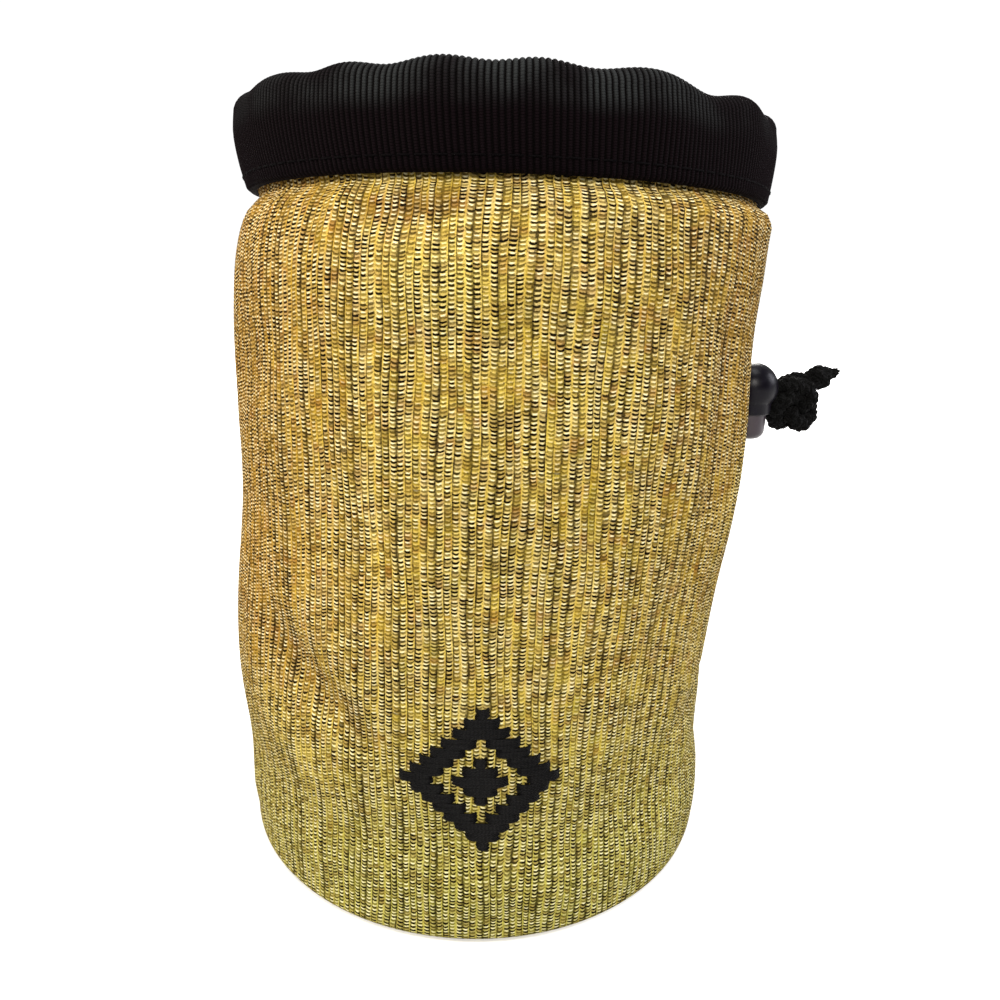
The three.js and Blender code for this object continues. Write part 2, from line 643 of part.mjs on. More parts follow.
// The cord's end stands out from the wall: in this group X points away from the bag
const cordEnd = new THREE.Group();
cordEnd.position.copy(onWall(CORD_ANGLE, CORD_HEIGHT));
cordEnd.rotation.z = THREE.MathUtils.degToRad(CORD_ANGLE - 90);
bag.add(cordEnd);
add(cordEnd, 'eyelet', eyeletGeometry(), EYELET_METAL);

const cordStart = new THREE.Vector3(-WALL, 0, 0);
const cordStop = new THREE.Vector3(LOCK_STANDOFF + CORD_JOIN, 0, 0);
const drawcordLine = new THREE.LineCurve3(cordStart, cordStop);
const drawcordSteps = 4;
add(cordEnd, 'drawcord', tube(drawcordLine, CORD_RADIUS, CORD_SIDES, drawcordSteps), CORD_YARN);

const lock = new THREE.Group();
lock.position.set(LOCK_STANDOFF, 0, 0);
cordEnd.add(lock);
add(lock, 'lock_body', lockBodyGeometry(), LOCK_PLASTIC);
add(lock, 'lock_button', buttonGeometry(), BUTTON_PLASTIC);
const knot = add(lock, 'knot', knotGeometry(), CORD_YARN);
knot.position.set(KNOT_OUT, 0, -KNOT_DROP);

export default bag;
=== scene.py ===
"""Looks of the climbing chalk bag: ribbed chenille, webbing, knitted cord and a ball cord lock.

Lengths are in millimetres until a mesh is made. Angles round the bag are degrees from the front: 90 is
the right side (+X) and 180 the back (+Y).
"""

import math

import bpy
import numpy as np
from mathutils import Matrix, Vector


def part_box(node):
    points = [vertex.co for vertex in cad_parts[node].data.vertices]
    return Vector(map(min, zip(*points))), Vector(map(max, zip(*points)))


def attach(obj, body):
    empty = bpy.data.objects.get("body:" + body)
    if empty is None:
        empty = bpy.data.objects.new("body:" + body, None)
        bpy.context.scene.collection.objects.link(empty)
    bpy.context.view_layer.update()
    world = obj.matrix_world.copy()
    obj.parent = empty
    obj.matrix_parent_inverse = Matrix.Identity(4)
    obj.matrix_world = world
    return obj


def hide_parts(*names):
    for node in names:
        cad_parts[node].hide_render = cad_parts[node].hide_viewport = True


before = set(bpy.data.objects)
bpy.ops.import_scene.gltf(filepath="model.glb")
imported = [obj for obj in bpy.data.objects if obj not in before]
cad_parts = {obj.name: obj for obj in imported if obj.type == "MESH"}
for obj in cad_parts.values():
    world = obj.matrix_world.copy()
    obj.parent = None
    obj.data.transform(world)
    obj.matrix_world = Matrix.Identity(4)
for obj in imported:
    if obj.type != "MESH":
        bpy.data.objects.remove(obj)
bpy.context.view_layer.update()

MM = 0.001


def table(columns, *rows):
    """Rows under the names of their columns"""
    return [dict(zip(columns.split(), row)) for row in rows]


# Camera, fitted to the outline of the photographed bag
SENSOR = 36
FOCAL_SHARE = 0.765             # focal length as a share of the picture's width
CAMERA_PLACE = Vector((4.55, -184.7, 131.8))
CAMERA_PITCH = 16.0             # degrees below level
CAMERA_ROLL = 1.65

# Sizes of the bag, as in the part's own source
BODY_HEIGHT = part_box("rim_binding")[0].z / MM
BODY_RADIUS = 58.5
LEAN_RIGHT = 3.4
LEAN_BACK = 6
WALL = 2.4
CORNER = 1.8
FIT_GAP = 0.3
RIM_HEIGHT = 17.5
RIM_RADIUS = 59.2
WEBBING = 1.8
TUCK = 2.4
TUCK_START = 3.6
PUCKER_IN = 1.1
PUCKER_DROP = 1.1
FOLD_DEPTH = 2.1
BASE_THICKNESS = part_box("base_panel")[1].z / MM
BINDING = 2 * WEBBING + 2 * FIT_GAP + WALL

CORD_HEIGHT = BODY_HEIGHT - 42.5
CORD_ANGLE = 103.7
CORD_RADIUS = 2
CHANNEL_HEIGHT = 15
CHANNEL_THICKNESS = 3
EYELET_RADIUS = 5.4
EYELET_BARREL = 3.3
EYELET_FLANGE = 0.9
CORD_BORE = CORD_RADIUS + FIT_GAP

LOCK_RADIUS = 6.6
LOCK_STANDOFF = 10.9
COLLAR_RADIUS = 5.3
COLLAR_DEPTH = 6.8
BUTTON_RADIUS = 4.35
BUTTON_REACH = 13.7
BUTTON_TRAVEL = 2
BUTTON_CLEARANCE = 0.25
BUTTON_ROUNDING = 2.6

KNOT_OUT = 12.8
KNOT_DROP = 4.7
KNOT_RING = 4.2
KNOT_SWING = 2
KNOT_TURNS = 2
KNOT_LOBES = 3
KNOT_OPENING = 0.35
KNOT_POINTS = 18
TAIL_OUT = 12.2
TAIL_UP = 8.5

LOOP_WIDTH = 25
LOOP_HEIGHT = 62
LOOP_BELOW_RIM = 18
LOOP_SPACE = 6.5
LOOP_THICKNESS = 1.6

MOTIF_HEIGHT = 38.5
MOTIF_ANGLE = 3.5
MOTIF_STEP = 2.1

# Cloth and thread
RIBS = 260                      # of the chenille, round the bag
RIB_RELIEF = 0.22
RIB_COLUMNS = 4                 # points across one rib
BAR_RATE = 1.235                # small bars that build a rib, for each mm at the ground
BAR_GAIN = 0.0009               # and how many more for each mm of height
BODY_ROWS = 78
INNER_ROWS = 26
RIM_RIBS = 336
RIM_RELIEF = 0.26
LOOP_RIB = 1.1
LOOP_EASE = (-0.07, -0.05, -0.025, 0, 0.025, 0.05, 0.07)    # shares of the run that round its corners
TACK_RUNS = (0.035, 0.105, 0.895, 0.965)
RIM_FOLD = (11, 17, 24, 30)     # where along the webbing its crests are worn grey, partly wear and partly painted highlight
LOOP_FOLD = (-3, 0, 1, 4)
CROSS_PITCH = 0.55              # of the fine yarns that cross a rib of the webbing
SLOT_ROWS = 6                   # of the binding's section, hidden in its slot
CUT_EDGE = 0.55                 # rounding of the webbing's edges
CORNER_POINTS = 5               # of the wall's rounding at the ground
RIM_POINTS = 11                 # up each face of the binding
RIM_TURN_POINTS = 13            # over its top
CREST_EXPONENT = 0.8            # flattens the crests of the webbing's ribs
RIM_VALLEY = 0.62
LOOP_VALLEY = 0.5
LOOP_RELIEF = 0.16
SEAM = 0.9                      # depth and width of the cloth's seam at the back
BASE_HOLLOW = 0.7
BASE_ROUNDING = 0.3
STITCHES = 118
STITCH_UP = 2.4
STITCH_SHARE = 0.8
STITCH_RADIUS = 0.17
STITCH_LIFT = 0.2
STITCH_POINTS = 7
CHANNEL_COLUMNS = 360
CHANNEL_STEPS = 22
ZIGZAGS = 46
THREAD_RADIUS = 0.22
THREADS = 6                     # of the motif, for each of its steps
STRAND_RADIUS = 0.78
STRANDS = 4                     # of the knitted cord, each way round
STRAND_LEAD = 7.0
CORD_STEP = 0.3                 # between points of the cord's middle line
FIBRES = 3400
FIBRE_RADIUS = 0.035
TUFTS = 70                      # at the cord's cut end
FRAYED = 5.5
ROUND = 96                      # sides of a turned piece

# Sections of the bag. height is a share of BODY_HEIGHT, radius of BODY_RADIUS, right of LEAN_RIGHT.
SECTIONS = table(
    "height radius right",
    (0.00, 0.991, 0.05), (0.03, 0.991, 0.15), (0.08, 0.995, 0.10), (0.16, 0.982, -0.16),
    (0.28, 1.002, -0.41), (0.42, 1.010, -0.19), (0.56, 1.019, 0.49), (0.70, 1.027, 0.69),
    (0.82, 1.024, 0.69), (0.90, 1.024, 0.92), (0.95, 1.014, 1.18), (0.985, 1.008, 1.55),
    (1.00, 1.000, 1.25), (1.12, 1.000, 0.95),
)

# Folds and bulges. height is a share of BODY_HEIGHT, lean the tilt from upright in degrees, across and
# along half sizes as shares of BODY_RADIUS, and depth a share of FOLD_DEPTH, inwards where positive.
FOLDS = table(
    "angle height lean across along depth",
    (-15, 0.962, 88, 0.06, 0.26, 0.75), (-9, 0.890, 80, 0.13, 0.24, -0.45),
    (18, 0.930, 84, 0.08, 0.22, 0.35), (-33, 0.365, -56, 0.09, 0.36, 0.90),
    (-38, 0.245, -50, 0.12, 0.26, -0.50), (-52, 0.780, 60, 0.12, 0.22, 0.35),
    (49, 0.770, 2, 0.07, 0.42, 0.60), (62, 0.600, 14, 0.10, 0.34, -0.35),
    (66, 0.270, 74, 0.07, 0.22, 0.70), (146, 0.480, 66, 0.11, 0.34, 0.55),
    (-140, 0.640, -62, 0.11, 0.36, 0.60), (-118, 0.300, 58, 0.12, 0.32, 0.50),
)

# Outline of the binding's outer face. rise is a share of RIM_HEIGHT and radius of RIM_RADIUS.
RIM_OUTLINE = table(
    "rise radius",
    (0.00, 0.974), (0.30, 0.991), (0.60, 1.000), (0.82, 0.993), (1.00, 0.985),
)

# Puckers of the binding. width is in degrees and depth a share of PUCKER_IN and PUCKER_DROP.
PUCKERS = table(
    "angle width depth",
    (-58, 6, 0.5), (-36, 6, 0.8), (-20, 6, 1.0), (-2, 6, 0.8), (15, 7, 1.1), (40, 9, 1.9), (62, 8, 1.2),
    (84, 7, 0.7), (105, 7, 1.0), (127, 6, 0.6), (146, 7, 0.9), (169, 7, 0.8), (-171, 6, 0.7),
    (-150, 7, 1.0), (-127, 7, 0.8), (-104, 6, 0.9), (-82, 7, 0.6),
)

# How the ribs wander to the sides, in ribs. length is in mm and shift from one rib to the next.
RIB_WANDER = table(
    "length shift by",
    (57, 0.21, 0.16), (23, 0.47, 0.10),
)

# Soft unevenness of the cloth: turns is the number of waves round the bag, length their height in mm,
# and depth in mm
WAVES = table(
    "turns length phase depth",
    (5, 190, 0.4, 0.30), (-9, 120, 2.1, 0.20), (14, 83, 4.0, 0.13), (-21, 61, 1.2, 0.09),
)

# Gathers just below the binding, which fade out downwards
GATHERS = table(
    "turns phase depth",
    (23, 0.6, 0.30), (37, 2.9, 0.22), (61, 1.7, 0.12),
)
GATHER_REACH = 9

# Gathers of the channel by the cord inside it
CHANNEL_GATHERS = table(
    "turns phase depth",
    (29, 0.3, 0.30), (47, 1.9, 0.22), (13, 4.1, 0.20),
)

SHOULDER_DROP = 10              # how far below the binding the cloth starts to round inwards, in mm
SHOULDER_IN = 3.4

# Run of the belt loop. run is a share of LOOP_HEIGHT and lift of the way from the wall to the belt face.
LOOP_RUN = table(
    "run lift",
    (0.00, 0), (0.07, 0), (0.14, 0), (0.18, 0.25), (0.24, 0.80), (0.29, 1), (0.71, 1), (0.76, 0.80),
    (0.82, 0.25), (0.86, 0), (0.93, 0), (1.00, 0),
)

# The knot's tail, as in the part's own source
KNOT_LEAD = dict(out=0.5, side=-0.7, rise=0.3)
TAIL = table(
    "out up side",
    (0.05, 0.72, 1), (0.45, 0.78, 0.7), (1, 1, 0.3),
)


def hermite(t, a, b, slope_a, slope_b):
    """Curve from a to b, whose slopes are those over the whole span"""
    start = (1 + 2 * t) * (1 - t) ** 2 * a + t * (1 - t) ** 2 * slope_a
    end = t * t * (3 - 2 * t) * b - t * t * (1 - t) * slope_b
    return start + end


def from_table(rows, key, column, at):
    """Smooth curve through one column of a table"""
    keys = np.array([row[key] for row in rows], float)
    values = np.array([row[column] for row in rows], float)
    last = len(rows) - 1
    k = np.arange(len(rows))
    before = np.maximum(k - 1, 0)
    after = np.minimum(k + 1, last)
    slopes = (values[after] - values[before]) / (keys[after] - keys[before])
    at = np.clip(at, keys[0], keys[-1])
    i = np.clip(np.searchsorted(keys, at) - 1, 0, last - 1)
    span = keys[i + 1] - keys[i]
    t = (at - keys[i]) / span
    return hermite(t, values[i], values[i + 1], span * slopes[i], span * slopes[i + 1])


def smoothstep(value, low, high):
    t = np.clip((value - low) / (high - low), 0, 1)
    return t * t * (3 - 2 * t)


def turn_from(a, b):
    """Angle from one direction to another, between -180 and 180 degrees"""
    return (b - a + 180) % 360 - 180


def outward(angle):
    a = np.radians(angle)
    return np.stack([np.sin(a), -np.cos(a), np.zeros_like(a)], axis=-1)


def wall_centre(height):
    share = height / BODY_HEIGHT
    right = LEAN_RIGHT * from_table(SECTIONS, "height", "right", share)
    return np.stack([right, LEAN_BACK * np.clip(share, 0, 1), height], axis=-1)


def fold_depth(angle, height):
    depth = np.zeros(np.broadcast(angle, height).shape)
    for fold in FOLDS:
        around = np.radians(turn_from(fold["angle"], angle)) * BODY_RADIUS
        up = height - fold["height"] * BODY_HEIGHT
        lean = math.radians(fold["lean"])
        across = (around * math.cos(lean) - up * math.sin(lean)) / (fold["across"] * BODY_RADIUS)
        along = (around * math.sin(lean) + up * math.cos(lean)) / (fold["along"] * BODY_RADIUS)
        depth = depth + FOLD_DEPTH * fold["depth"] * np.exp(-across**2 - along**2)
    return depth


def pucker_at(angle):
    pull = np.zeros_like(angle)
    for pucker in PUCKERS:
        pull = pull + pucker["depth"] * np.exp(-((turn_from(pucker["angle"], angle) / pucker["width"]) ** 2))
    return pull


def rim_middle(angle, height):
    """Radius of the middle of the cloth where the binding covers it"""
    rise = np.clip((height - BODY_HEIGHT) / RIM_HEIGHT, 0, 1)
    outline = RIM_RADIUS * from_table(RIM_OUTLINE, "rise", "radius", rise)
    return outline - BINDING / 2 - PUCKER_IN * pucker_at(angle) * rise


def rim_spring(angle):
    """Height at which the binding starts to turn over the cloth's top edge"""
    return BODY_HEIGHT + RIM_HEIGHT - BINDING / 2 - PUCKER_DROP * pucker_at(angle)


def unevenness(angle, height):
    """Waves of the cloth in and out, flat at the ground and under the binding"""
    wave = np.zeros(np.broadcast(angle, height).shape)
    for row in WAVES:
        phase = np.radians(angle) * row["turns"] + 2 * math.pi * height / row["length"] + row["phase"]
        wave = wave + row["depth"] * np.sin(phase)
    below = BODY_HEIGHT - height
    calm = smoothstep(height, 0, 12) * smoothstep(below, 0, 10)
    gathered = np.exp(-below / GATHER_REACH) * smoothstep(below, 0, 2.5)
    return wave * calm + gathers(GATHERS, angle) * gathered


def gathers(rows, angle):
    """Sum of waves round the bag"""
    return sum(row["depth"] * np.sin(np.radians(angle) * row["turns"] + row["phase"]) for row in rows)


def wall_radius(angle, height):
    section = BODY_RADIUS * from_table(SECTIONS, "height", "radius", height / BODY_HEIGHT)
    shoulder = np.clip(1 - (BODY_HEIGHT - height) / SHOULDER_DROP, 0, 1)
    rounded = SHOULDER_IN * (1 - np.sqrt(1 - shoulder**2))
    bare = section - fold_depth(angle, height) + unevenness(angle, height) - rounded
    covered = rim_middle(angle, height) + WALL / 2
    tucked = smoothstep(height, BODY_HEIGHT - TUCK_START, BODY_HEIGHT - FIT_GAP)
    return bare + (covered - bare) * tucked


def on_wall(angle, height, off=0.0):
    """Point that lies off the cloth's outer face by this much"""
    angle, height, off = np.broadcast_arrays(np.asarray(angle, float), np.asarray(height, float), off)
    return wall_centre(height) + outward(angle) * (wall_radius(angle, height) + off)[..., None]


def upright(angle, height):
    """Angles that keep a rib upright in front and behind while the bag leans to one side"""
    shift = LEAN_RIGHT * from_table(SECTIONS, "height", "right", height / BODY_HEIGHT)
    return angle - np.degrees(shift / BODY_RADIUS) * np.cos(np.radians(angle))


class Skin:
    """Points in millimetres, faces, and marks: each corner's place in the cloth's own measure"""

    def __init__(self):
        self.points = []
        self.count = 0
        self.corners = []
        self.marks = []
        self.sizes = []
        self.slots = []

    def put(self, points):
        points = np.asarray(points, float).reshape(-1, 3)
        first = self.count
        self.points.append(points)
        self.count += len(points)
        return first + np.arange(len(points))

    def face(self, corners, marks=None, slot=0):
        corners = np.asarray(corners, int)
        if marks is None:
            marks = np.zeros(corners.shape + (2,))
        self.corners.append(corners.ravel())
        self.marks.append(np.asarray(marks, float).reshape(-1, 2))
        self.sizes.append(np.full(len(corners), corners.shape[1]))
        self.slots.append(np.full(len(corners), slot))

    def grid(self, ids, marks, slot=0, closed=False, looped=False, flip=False):
        """Faces over a grid of point numbers, closed round its columns and looped round its rows"""
        ids = np.concatenate([ids, ids[:, :1]], axis=1) if closed else ids
        ids = np.concatenate([ids, ids[:1]], axis=0) if looped else ids
        corners = np.stack([ids[:-1, :-1], ids[:-1, 1:], ids[1:, 1:], ids[1:, :-1]], axis=-1)
        marks = np.stack([marks[:-1, :-1], marks[:-1, 1:], marks[1:, 1:], marks[1:, :-1]], axis=-2)
        if flip:
            corners, marks = corners[..., ::-1], marks[..., ::-1, :]
        self.face(corners.reshape(-1, 4), marks.reshape(-1, 4, 2), slot)

    def fan(self, ring, middle, mark, slot=0, flip=False):
        """Closes a ring of point numbers with triangles to one point"""
        centre = self.put([middle])[0]
        following = np.roll(ring, -1)
        pair = (following, ring) if flip else (ring, following)
        corners = np.stack([np.full(len(ring), centre), *pair], axis=-1)
        self.face(corners, np.broadcast_to(mark, corners.shape + (2,)), slot)

    def sheet(self, points, u, v, slot=0, looped=False):
        """Points with faces, closed round their columns. u and v mark the columns and the rows."""
        points = np.asarray(points)
        ids = self.put(points).reshape(points.shape[:2])
        marks = np.stack(np.broadcast_arrays(u, np.asarray(v, float)[:, None] + 0 * u), axis=-1)
        self.grid(ids, marks, slot, closed=True, looped=looped)
        return ids

    def tube(self, path, radius, sides, up=None):
        """Round tube along a path, closed at both ends. up keeps its section from turning."""
        path = np.asarray(path, float)
        along = unit(np.gradient(path, axis=0))
        normal = carried_normals(along) if up is None else np.asarray(up, float)
        normal = unit(normal - along * np.sum(normal * along, axis=1, keepdims=True))
        side = np.cross(along, normal)
        turn = circle(sides)
        ring = np.cos(turn)[None, :, None] * normal[:, None] + np.sin(turn)[None, :, None] * side[:, None]
        radius = np.broadcast_to(radius, len(path))[:, None, None]
        run = run_of(path)
        ids = self.sheet(path[:, None] + ring * radius, np.arange(sides + 1) / sides, run)
        self.fan(ids[0], path[0], (0, run[0]), flip=True)
        self.fan(ids[-1], path[-1], (0, run[-1]))

    def build(self, name, materials, sharp=40):
        """The mesh as an object in metres, smooth but for edges sharper than this many degrees"""
        mesh = bpy.data.meshes.new(name)
        points = np.concatenate(self.points) * MM
        corners = np.concatenate(self.corners)
        sizes = np.concatenate(self.sizes)
        mesh.vertices.add(len(points))
        mesh.vertices.foreach_set("co", points.astype(np.float32).ravel())
        mesh.loops.add(len(corners))
        mesh.loops.foreach_set("vertex_index", corners.astype(np.int32))
        mesh.polygons.add(len(sizes))
        mesh.polygons.foreach_set("loop_start", (np.cumsum(sizes) - sizes).astype(np.int32))
        mesh.polygons.foreach_set("material_index", np.concatenate(self.slots).astype(np.int32))
        mesh.update(calc_edges=True)
        layer = mesh.uv_layers.new(name="cloth")
        layer.data.foreach_set("uv", np.concatenate(self.marks).astype(np.float32).ravel())
        for material in materials:
            mesh.materials.append(material)
        mesh.shade_smooth()
        if sharp:
            mesh.set_sharp_from_angle(angle=math.radians(sharp))
        piece = bpy.data.objects.new(name, mesh)
        bpy.context.scene.collection.objects.link(piece)
        return piece


def circle(count):
    """Angles of this many even steps round a circle, in radians"""
    return 2 * math.pi * np.arange(count) / count


def unit(vectors):
    return vectors / np.linalg.norm(vectors, axis=1, keepdims=True)


def run_of(path):
    """How far along a path each of its points lies"""
    return np.concatenate([[0], np.cumsum(np.linalg.norm(np.diff(path, axis=0), axis=1))])


def carried_normals(along):
    """Normals carried along a path without twist"""
    first = np.cross(along[0], [0.0, 0.0, 1.0])
    if np.linalg.norm(first) < 0.1:
        first = np.cross(along[0], [0.0, 1.0, 0.0])
    normals = [first / np.linalg.norm(first)]
    for direction in along[1:]:
        carried = normals[-1] - direction * np.dot(normals[-1], direction)
        normals.append(carried / np.linalg.norm(carried))
    return np.array(normals)


def smooth_route(points, steps):
    """Centripetal Catmull-Rom curve through the points, with this many steps between two of them"""
    points = np.asarray(points, float)
    points = np.vstack([2 * points[0] - points[1], points, 2 * points[-1] - points[-2]])
    route = []
    for k in range(1, len(points) - 2):
        p = points[k - 1 : k + 3]
        gap = np.maximum(np.linalg.norm(np.diff(p, axis=0), axis=1) ** 0.5, 1e-6)
        before = (p[1] - p[0]) / gap[0] - (p[2] - p[0]) / (gap[0] + gap[1]) + (p[2] - p[1]) / gap[1]
        after = (p[2] - p[1]) / gap[1] - (p[3] - p[1]) / (gap[1] + gap[2]) + (p[3] - p[2]) / gap[2]
        t = (np.arange(steps) / steps)[:, None]
        route.append(hermite(t, p[1], p[2], before * gap[1], after * gap[1]))
    return np.vstack(route + [points[-2:-1]])


def even_steps(path, step):
    """The same path with points this far apart"""
    run = run_of(path)
    at = np.linspace(0, run[-1], max(int(round(run[-1] / step)), 2) + 1)
    return np.stack([np.interp(at, run, path[:, k]) for k in range(3)], axis=-1)


class Shader:
    """Short names for the nodes of one material"""

    def __init__(self, name):
        self.material = bpy.data.materials.new(name)
        self.material.use_nodes = True
        self.tree = self.material.node_tree
        self.main = self.tree.nodes["Principled BSDF"]

    def put(self, node, inputs):
        for name, value in inputs.items():
            socket = node.inputs[name]
            if isinstance(value, bpy.types.NodeSocket):
                self.tree.links.new(value, socket)
            else:
                socket.default_value = value
        return node

    def node(self, kind, inputs, **settings):
        node = self.tree.nodes.new(kind)
        for name, value in settings.items():
            setattr(node, name, value)
        return self.put(node, inputs)

    def math(self, operation, *values):
        return self.node("ShaderNodeMath", dict(enumerate(values)), operation=operation).outputs[0]

    def add(self, a, b):
        return self.math("ADD", a, b)

    def sub(self, a, b):
        return self.math("SUBTRACT", a, b)

    def mul(self, a, b):
        return self.math("MULTIPLY", a, b)

    def mad(self, value, factor, term):
        """The value times a factor, plus a term"""
        return self.math("MULTIPLY_ADD", value, factor, term)

    def off(self, value, middle=0.5):
        """How far a value is from a middle"""
        return self.math("ABSOLUTE", self.sub(value, middle))

    def axes(self, vector):
        parts = self.node("ShaderNodeSeparateXYZ", {0: vector}).outputs
        return parts[0], parts[1], parts[2]

    def cloth(self):
        """The two marks of the surface point: across the ribs and along them"""
        return self.axes(self.node("ShaderNodeUVMap", {}, uv_map="cloth").outputs[0])[:2]

    def place(self):
        return self.node("ShaderNodeTexCoord", {}).outputs["Object"]

    def vector(self, x, y):
        return self.node("ShaderNodeCombineXYZ", {0: x, 1: y}).outputs[0]

    def noise(self, vector, scale, detail=2.0, roughness=0.5):
        inputs = {"Vector": vector, "Scale": scale, "Detail": detail, "Roughness": roughness}
        return self.node("ShaderNodeTexNoise", inputs).outputs["Fac"]

    def chance(self, number):
        """A random value from 0 to 1 for each whole number"""
        return self.node("ShaderNodeTexWhiteNoise", {"W": number}, noise_dimensions="1D").outputs["Value"]

    def rise(self, value, low, high, bottom=0.0, top=1.0):
        """Smooth step from bottom to top as the value goes from low to high"""
        inputs = {"Value": value, "From Min": low, "From Max": high, "To Min": bottom, "To Max": top}
        return self.node("ShaderNodeMapRange", inputs, interpolation_type="SMOOTHSTEP").outputs[0]

    def mix(self, share, a, b):
        """Colour between two colours: sockets 6, 7 and 2 are those for colours"""
        return self.node("ShaderNodeMix", {0: share, 6: a, 7: b}, data_type="RGBA").outputs[2]

    def bump(self, height, distance, strength=1.0):
        inputs = {"Height": height, "Distance": distance * MM, "Strength": strength}
        return self.node("ShaderNodeBump", inputs).outputs["Normal"]

    def finish(self, **inputs):
        names = {key.replace("_", " ").title().replace("Ior", "IOR"): value for key, value in inputs.items()}
        self.put(self.main, names)
        return self.material


def rgb(red, green, blue):
    """Colour from the 0 to 255 values of a screen"""
    def linear(value):
        share = value / 255
        return share / 12.92 if share <= 0.04045 else ((share + 0.055) / 1.055) ** 2.4
    return (linear(red), linear(green), linear(blue), 1.0)


# Tones of the chenille, in the order in which they are laid over the first one. Some of them are painted
# light and shade: shade in the folds, in the gaps and at the sides, light on the bulges, and highlights on
# the bars.
CHENILLE = dict(
    straw=(206, 174, 62),
    yellow=(228, 198, 82),
    olive=(158, 142, 48),
    rust=(182, 120, 44),
    brown=(142, 98, 38),
    cream=(248, 224, 148),
    green=(172, 176, 76),
    # painted side shade: darker, warmer tones for the left and right sides
    left_side_shade=(176, 112, 24),
    right_side_shade=(156, 100, 26),
    top_ochre=(160, 108, 40),
    # painted shade: the darker, browner tone of the folds
    crease_shade=(132, 86, 30),
    # painted light: the paler tone of the bulges
    bulge_light=(244, 220, 110),
    shade=(98, 72, 24),
    # painted highlight of the bars
    lit_bar=(255, 248, 204),
    dull_bar=(128, 92, 34),
)
# near-black of the painted shade in the gaps, also of the dark knots
CHENILLE_GAP = (14, 8, 4)
CHENILLE_SHEEN = (250, 226, 150)
RIB_APART = 17.31               # in the noise, so that two ribs have nothing in common


